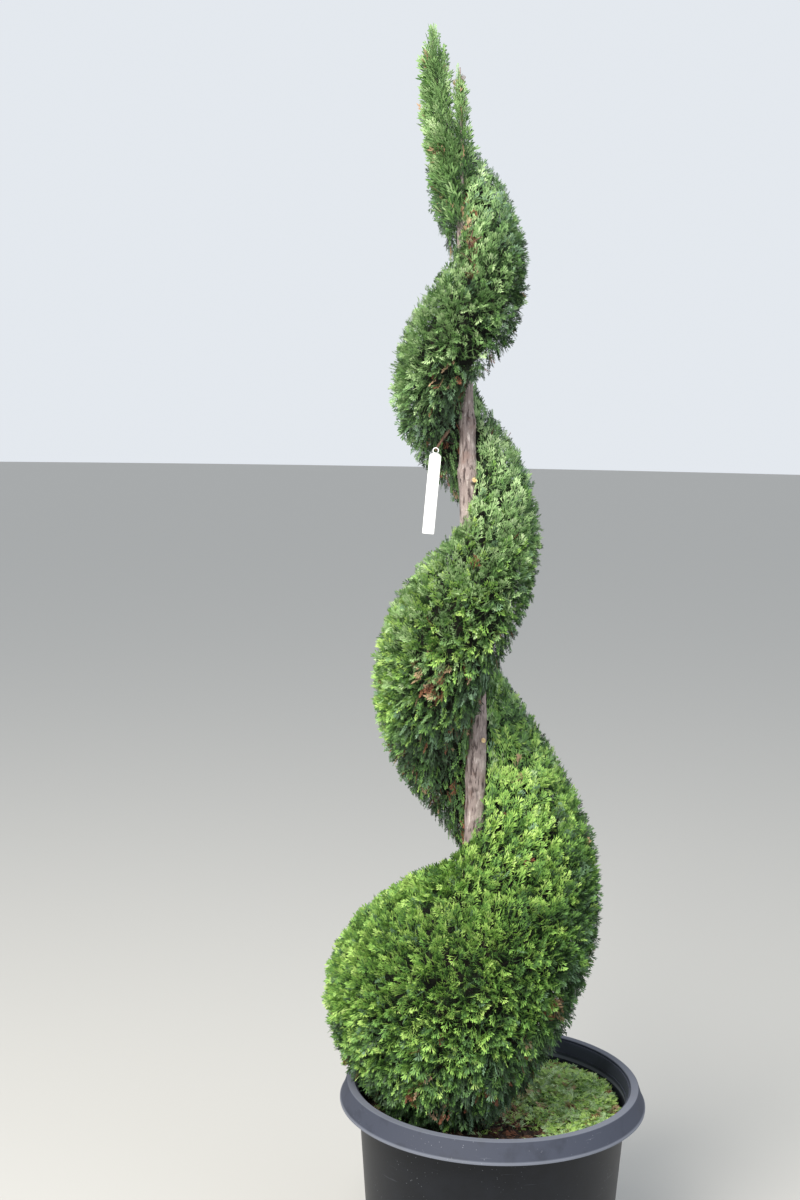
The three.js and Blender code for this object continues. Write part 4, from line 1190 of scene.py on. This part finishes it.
outline = [(0, POT_FLOOR + 0.3), (pot_inner_radius(POT_FLOOR) - 0.6, POT_FLOOR + 0.3)]
outline += [(MIX_EDGE_R, SOIL_Z - 8)] + [(r, SOIL_Z) for r in np.linspace(MIX_EDGE_R - 6, 0, 44)]
bm = spin_outline(outline, 150)
for v in bm.verts:
    if v.co.z > SOIL_Z - 1:
        crumb = noise.noise(v.co * 0.11) * 2.4 + noise.noise(v.co * 0.035) * 2.0
        v.co.z = float(mix_top(v.co.x, v.co.y)) + min(crumb, 1.5)
finish_piece("bark_mix", mesh_from_bmesh(bm), [MOIST_MIX], ["potting_mix"], smooth_deg=50)


def chip_template(seed):
    """Splinter of bark: a box with its corners knocked about."""
    random = np.random.default_rng(seed)
    bm = bmesh.new()
    made = bmesh.ops.create_cube(bm, size=1)["verts"]
    bmesh.ops.scale(bm, vec=(0.55, 1.0, 0.3), verts=made)
    for v in made:
        v.co += Vector(random.uniform(-0.16, 0.16, 3)) * (0.5 if abs(v.co.y) < 0.1 else 1)
    return template_arrays(bm)


def scattered(count, least_r, most_r, random):
    """Places on the mix, evenly by area."""
    r = np.sqrt(random.uniform(least_r**2, most_r**2, count))
    a = random.uniform(0, 2 * np.pi, count)
    x, y = r * np.cos(a), r * np.sin(a)
    return np.stack([x, y, mix_top(x, y)], axis=1)


chips = [chip_template(seed) for seed in range(6)]
random = np.random.default_rng(401)
foots = scattered(CHIP_COUNT, 30, MIX_EDGE_R - 8, random) + np.array([0, 0, 1.0])
flat_way, rise = random.normal(size=(len(foots), 2)), random.normal(0, 0.25, (len(foots), 1))
headings = unit(np.concatenate([flat_way, rise], axis=1))
tips = foots + headings * random.uniform(*CHIP_LENGTHS, len(foots))[:, None]
sides = unit(random.normal(size=foots.shape) * [1, 1, 0.3])
axes = frames_from(foots, tips, sides, np.ones(len(foots)))
points, triangles, _ = joined_copies(chips, random.integers(0, len(chips), len(foots)), foots, axes)
chip_tones = np.repeat((random.random(len(foots)) < BROWN_SHARE).astype(int), len(chips[0][1]))
chip_mesh = mesh_from_arrays(points, triangles, chip_tones)
finish_piece("bark_chips", chip_mesh, [DARK_CHIP, BROWN_CHIP])
print("chips:", len(foots))

# %% Clippings
CLIPPING_COUNT, CLIPPING_LENGTHS = 6200, (18, 38)
random = np.random.default_rng(402)
places = scattered(CLIPPING_COUNT, 34, MIX_EDGE_R - 3, random)
cover = smooth_step(-40, 110, places[:, 0] + 0.45 * places[:, 1] + 30 * patches(places, 90, 12))
places = places[random.random(len(places)) < cover * 0.85 + 0.06]
count = len(places)
a = random.uniform(0, 2 * np.pi, count)
tilt = random.normal(0.08, 0.2, count)
axis = np.stack([np.cos(a) * np.cos(tilt), np.sin(a) * np.cos(tilt), np.sin(tilt)], axis=1)
length = random.uniform(*CLIPPING_LENGTHS, count)
layer = random.uniform(1, 8, count) * smooth_step(-40, 110, places[:, 0] + 0.45 * places[:, 1])
roots = places + np.stack([0 * a, 0 * a, 1.5 + layer], axis=1) - axis * length[:, None] / 2
tips = roots + axis * length[:, None]
furthest = np.maximum(np.hypot(*roots[:, :2].T), np.hypot(*tips[:, :2].T))
past_wall = np.maximum(furthest - MIX_EDGE_R + 3, 0)
pulled = past_wall[:, None] * outwards(np.arctan2(places[:, 1], places[:, 0]))
roots, tips = roots - pulled, tips - pulled
inside = np.hypot(tips[:, 0] + 30, tips[:, 1]) > 40
roots, tips, axis = roots[inside], tips[inside], axis[inside]
sides = turned_sides(axis, np.broadcast_to([0.0, 0.0, 1.0], axis.shape), 0.35, random)
light = 0.4 * patches(tips, 60, 13) + random.normal(1.3, 0.6, len(tips))
tones = np.clip(np.digitize(light, [-0.6, -0.1, 0.4, 0.9]), 0, 4)
tones = np.where((tones >= 2) & (random.random(len(tips)) < 0.4), tones + MUTED - 2, tones)
dead = random.random(len(tips)) < 0.07 + 0.25 * (tips[:, 0] < 60)
tones = np.where(dead, rust_or_tan(random, len(tips)), tones)
clippings = mesh_from_arrays(*lay_sprays(SPRAYS, roots, tips, sides, tones, random))
finish_piece("clippings", clippings, LEAVES)
print("clippings:", len(tips))

# %% [markdown]
# ## Plant label and its twig
# A blank white plastic strip hangs by its moulded loop from a bare twig. The strip is a cube drawn out
# and cut at its top corners, and the loop a small ring spun about the twig.

# %% Label
LABEL_HANG = (-121, -45, 1486)
LABEL_LOOP_R, LABEL_WIRE, LABEL_TWIG_R = 4.4, 0.9, 1.7
LABEL_WIDTH, LABEL_THICKNESS, LABEL_LENGTH, LABEL_LEAN_DEG = 19.5, 0.9, 134, 4.3
SMUDGES = [(0.3, "#dfe1dd"), (0.55, "#f3f4f2")]
LABEL_PLASTIC = mottled(
    "matte_white_polystyrene", 45, 6, SMUDGES, Base_Color="#eef0ee", Roughness=0.45, IOR=1.55
)


def round_corners(bm, heights, offset, segments):
    """Bevel the edges that run through the strip between two heights."""
    through = [e for e in bm.edges if abs(e.verts[0].co.y - e.verts[1].co.y) > LABEL_THICKNESS / 2]
    corners = [e for e in through if heights[0] < e.verts[0].co.z < heights[1]]
    bmesh.ops.bevel(
        bm, geom=corners, offset=offset, segments=segments, profile=0.5, affect="EDGES", material=-1
    )


bm = bmesh.new()
strip = bmesh.ops.create_cube(bm, size=1)["verts"]
bmesh.ops.scale(bm, vec=(LABEL_WIDTH, LABEL_THICKNESS, LABEL_LENGTH), verts=strip)
bmesh.ops.translate(bm, vec=(0, 0, -LABEL_LENGTH / 2 - LABEL_LOOP_R), verts=strip)
round_corners(bm, (-20, 0), 4.5, 1)
round_corners(bm, (-LABEL_LENGTH - 20, -100), 1.2, 3)
wire = bmesh.ops.create_circle(bm, segments=10, radius=LABEL_WIRE)["verts"]
bmesh.ops.translate(bm, vec=(LABEL_LOOP_R, 0, 0), verts=wire)
spin_once(bm, wire + list({e for v in wire for e in v.link_edges}), (0, 1, 0), 40)
bmesh.ops.remove_doubles(bm, verts=bm.verts, dist=0.01)
under_twig = Vector((0, 0, LABEL_LOOP_R - LABEL_WIRE - LABEL_TWIG_R - 0.3))
hang = Matrix.Translation(Vector(LABEL_HANG) - under_twig)
lean = Matrix.Rotation(math.radians(LABEL_LEAN_DEG), 4, "Y")
bmesh.ops.transform(bm, matrix=hang @ lean, verts=bm.verts)
label_mesh = mesh_from_bmesh(bm)
finish_piece("blank_label", label_mesh, [LABEL_PLASTIC], ["plant_label"], smooth_deg=40)

# %% Bare twigs
bm = bmesh.new()
hang_point = Vector(LABEL_HANG)
twig = [Vector((-98, -18, 1520)), hang_point + Vector((0, 9, 0)), hang_point + Vector((0, -8, 0))]
add_limb(bm, twig, [3.4, LABEL_TWIG_R, LABEL_TWIG_R], 8)
random = np.random.default_rng(403)
BARE_TWIGS = (((-80, -6, 1806), (-64, -100, 1783)), ((-81, -6, 1830), (-72, -88, 1812)))
for foot, tip in BARE_TWIGS:
    foot, tip = Vector(foot), Vector(tip)
    bend = foot.lerp(tip, 0.5) + Vector(random.uniform(-6, 6, 3))
    add_limb(bm, [foot, bend, tip], [2.4, 1.7, 0.8], 6)
    for _ in range(5):
        start = bend.lerp(tip, float(random.uniform(0.1, 0.9)))
        end = start + Vector(random.uniform(-22, 22, 3)) + Vector((0, -6, 6))
        add_limb(bm, [start, start.lerp(end, 0.5) + Vector((0, 0, 2)), end], [1.1, 0.9, 0.5], 5)
finish_piece("bare_twigs", mesh_from_bmesh(bm), [TWIG_BARK], smooth_deg=60)
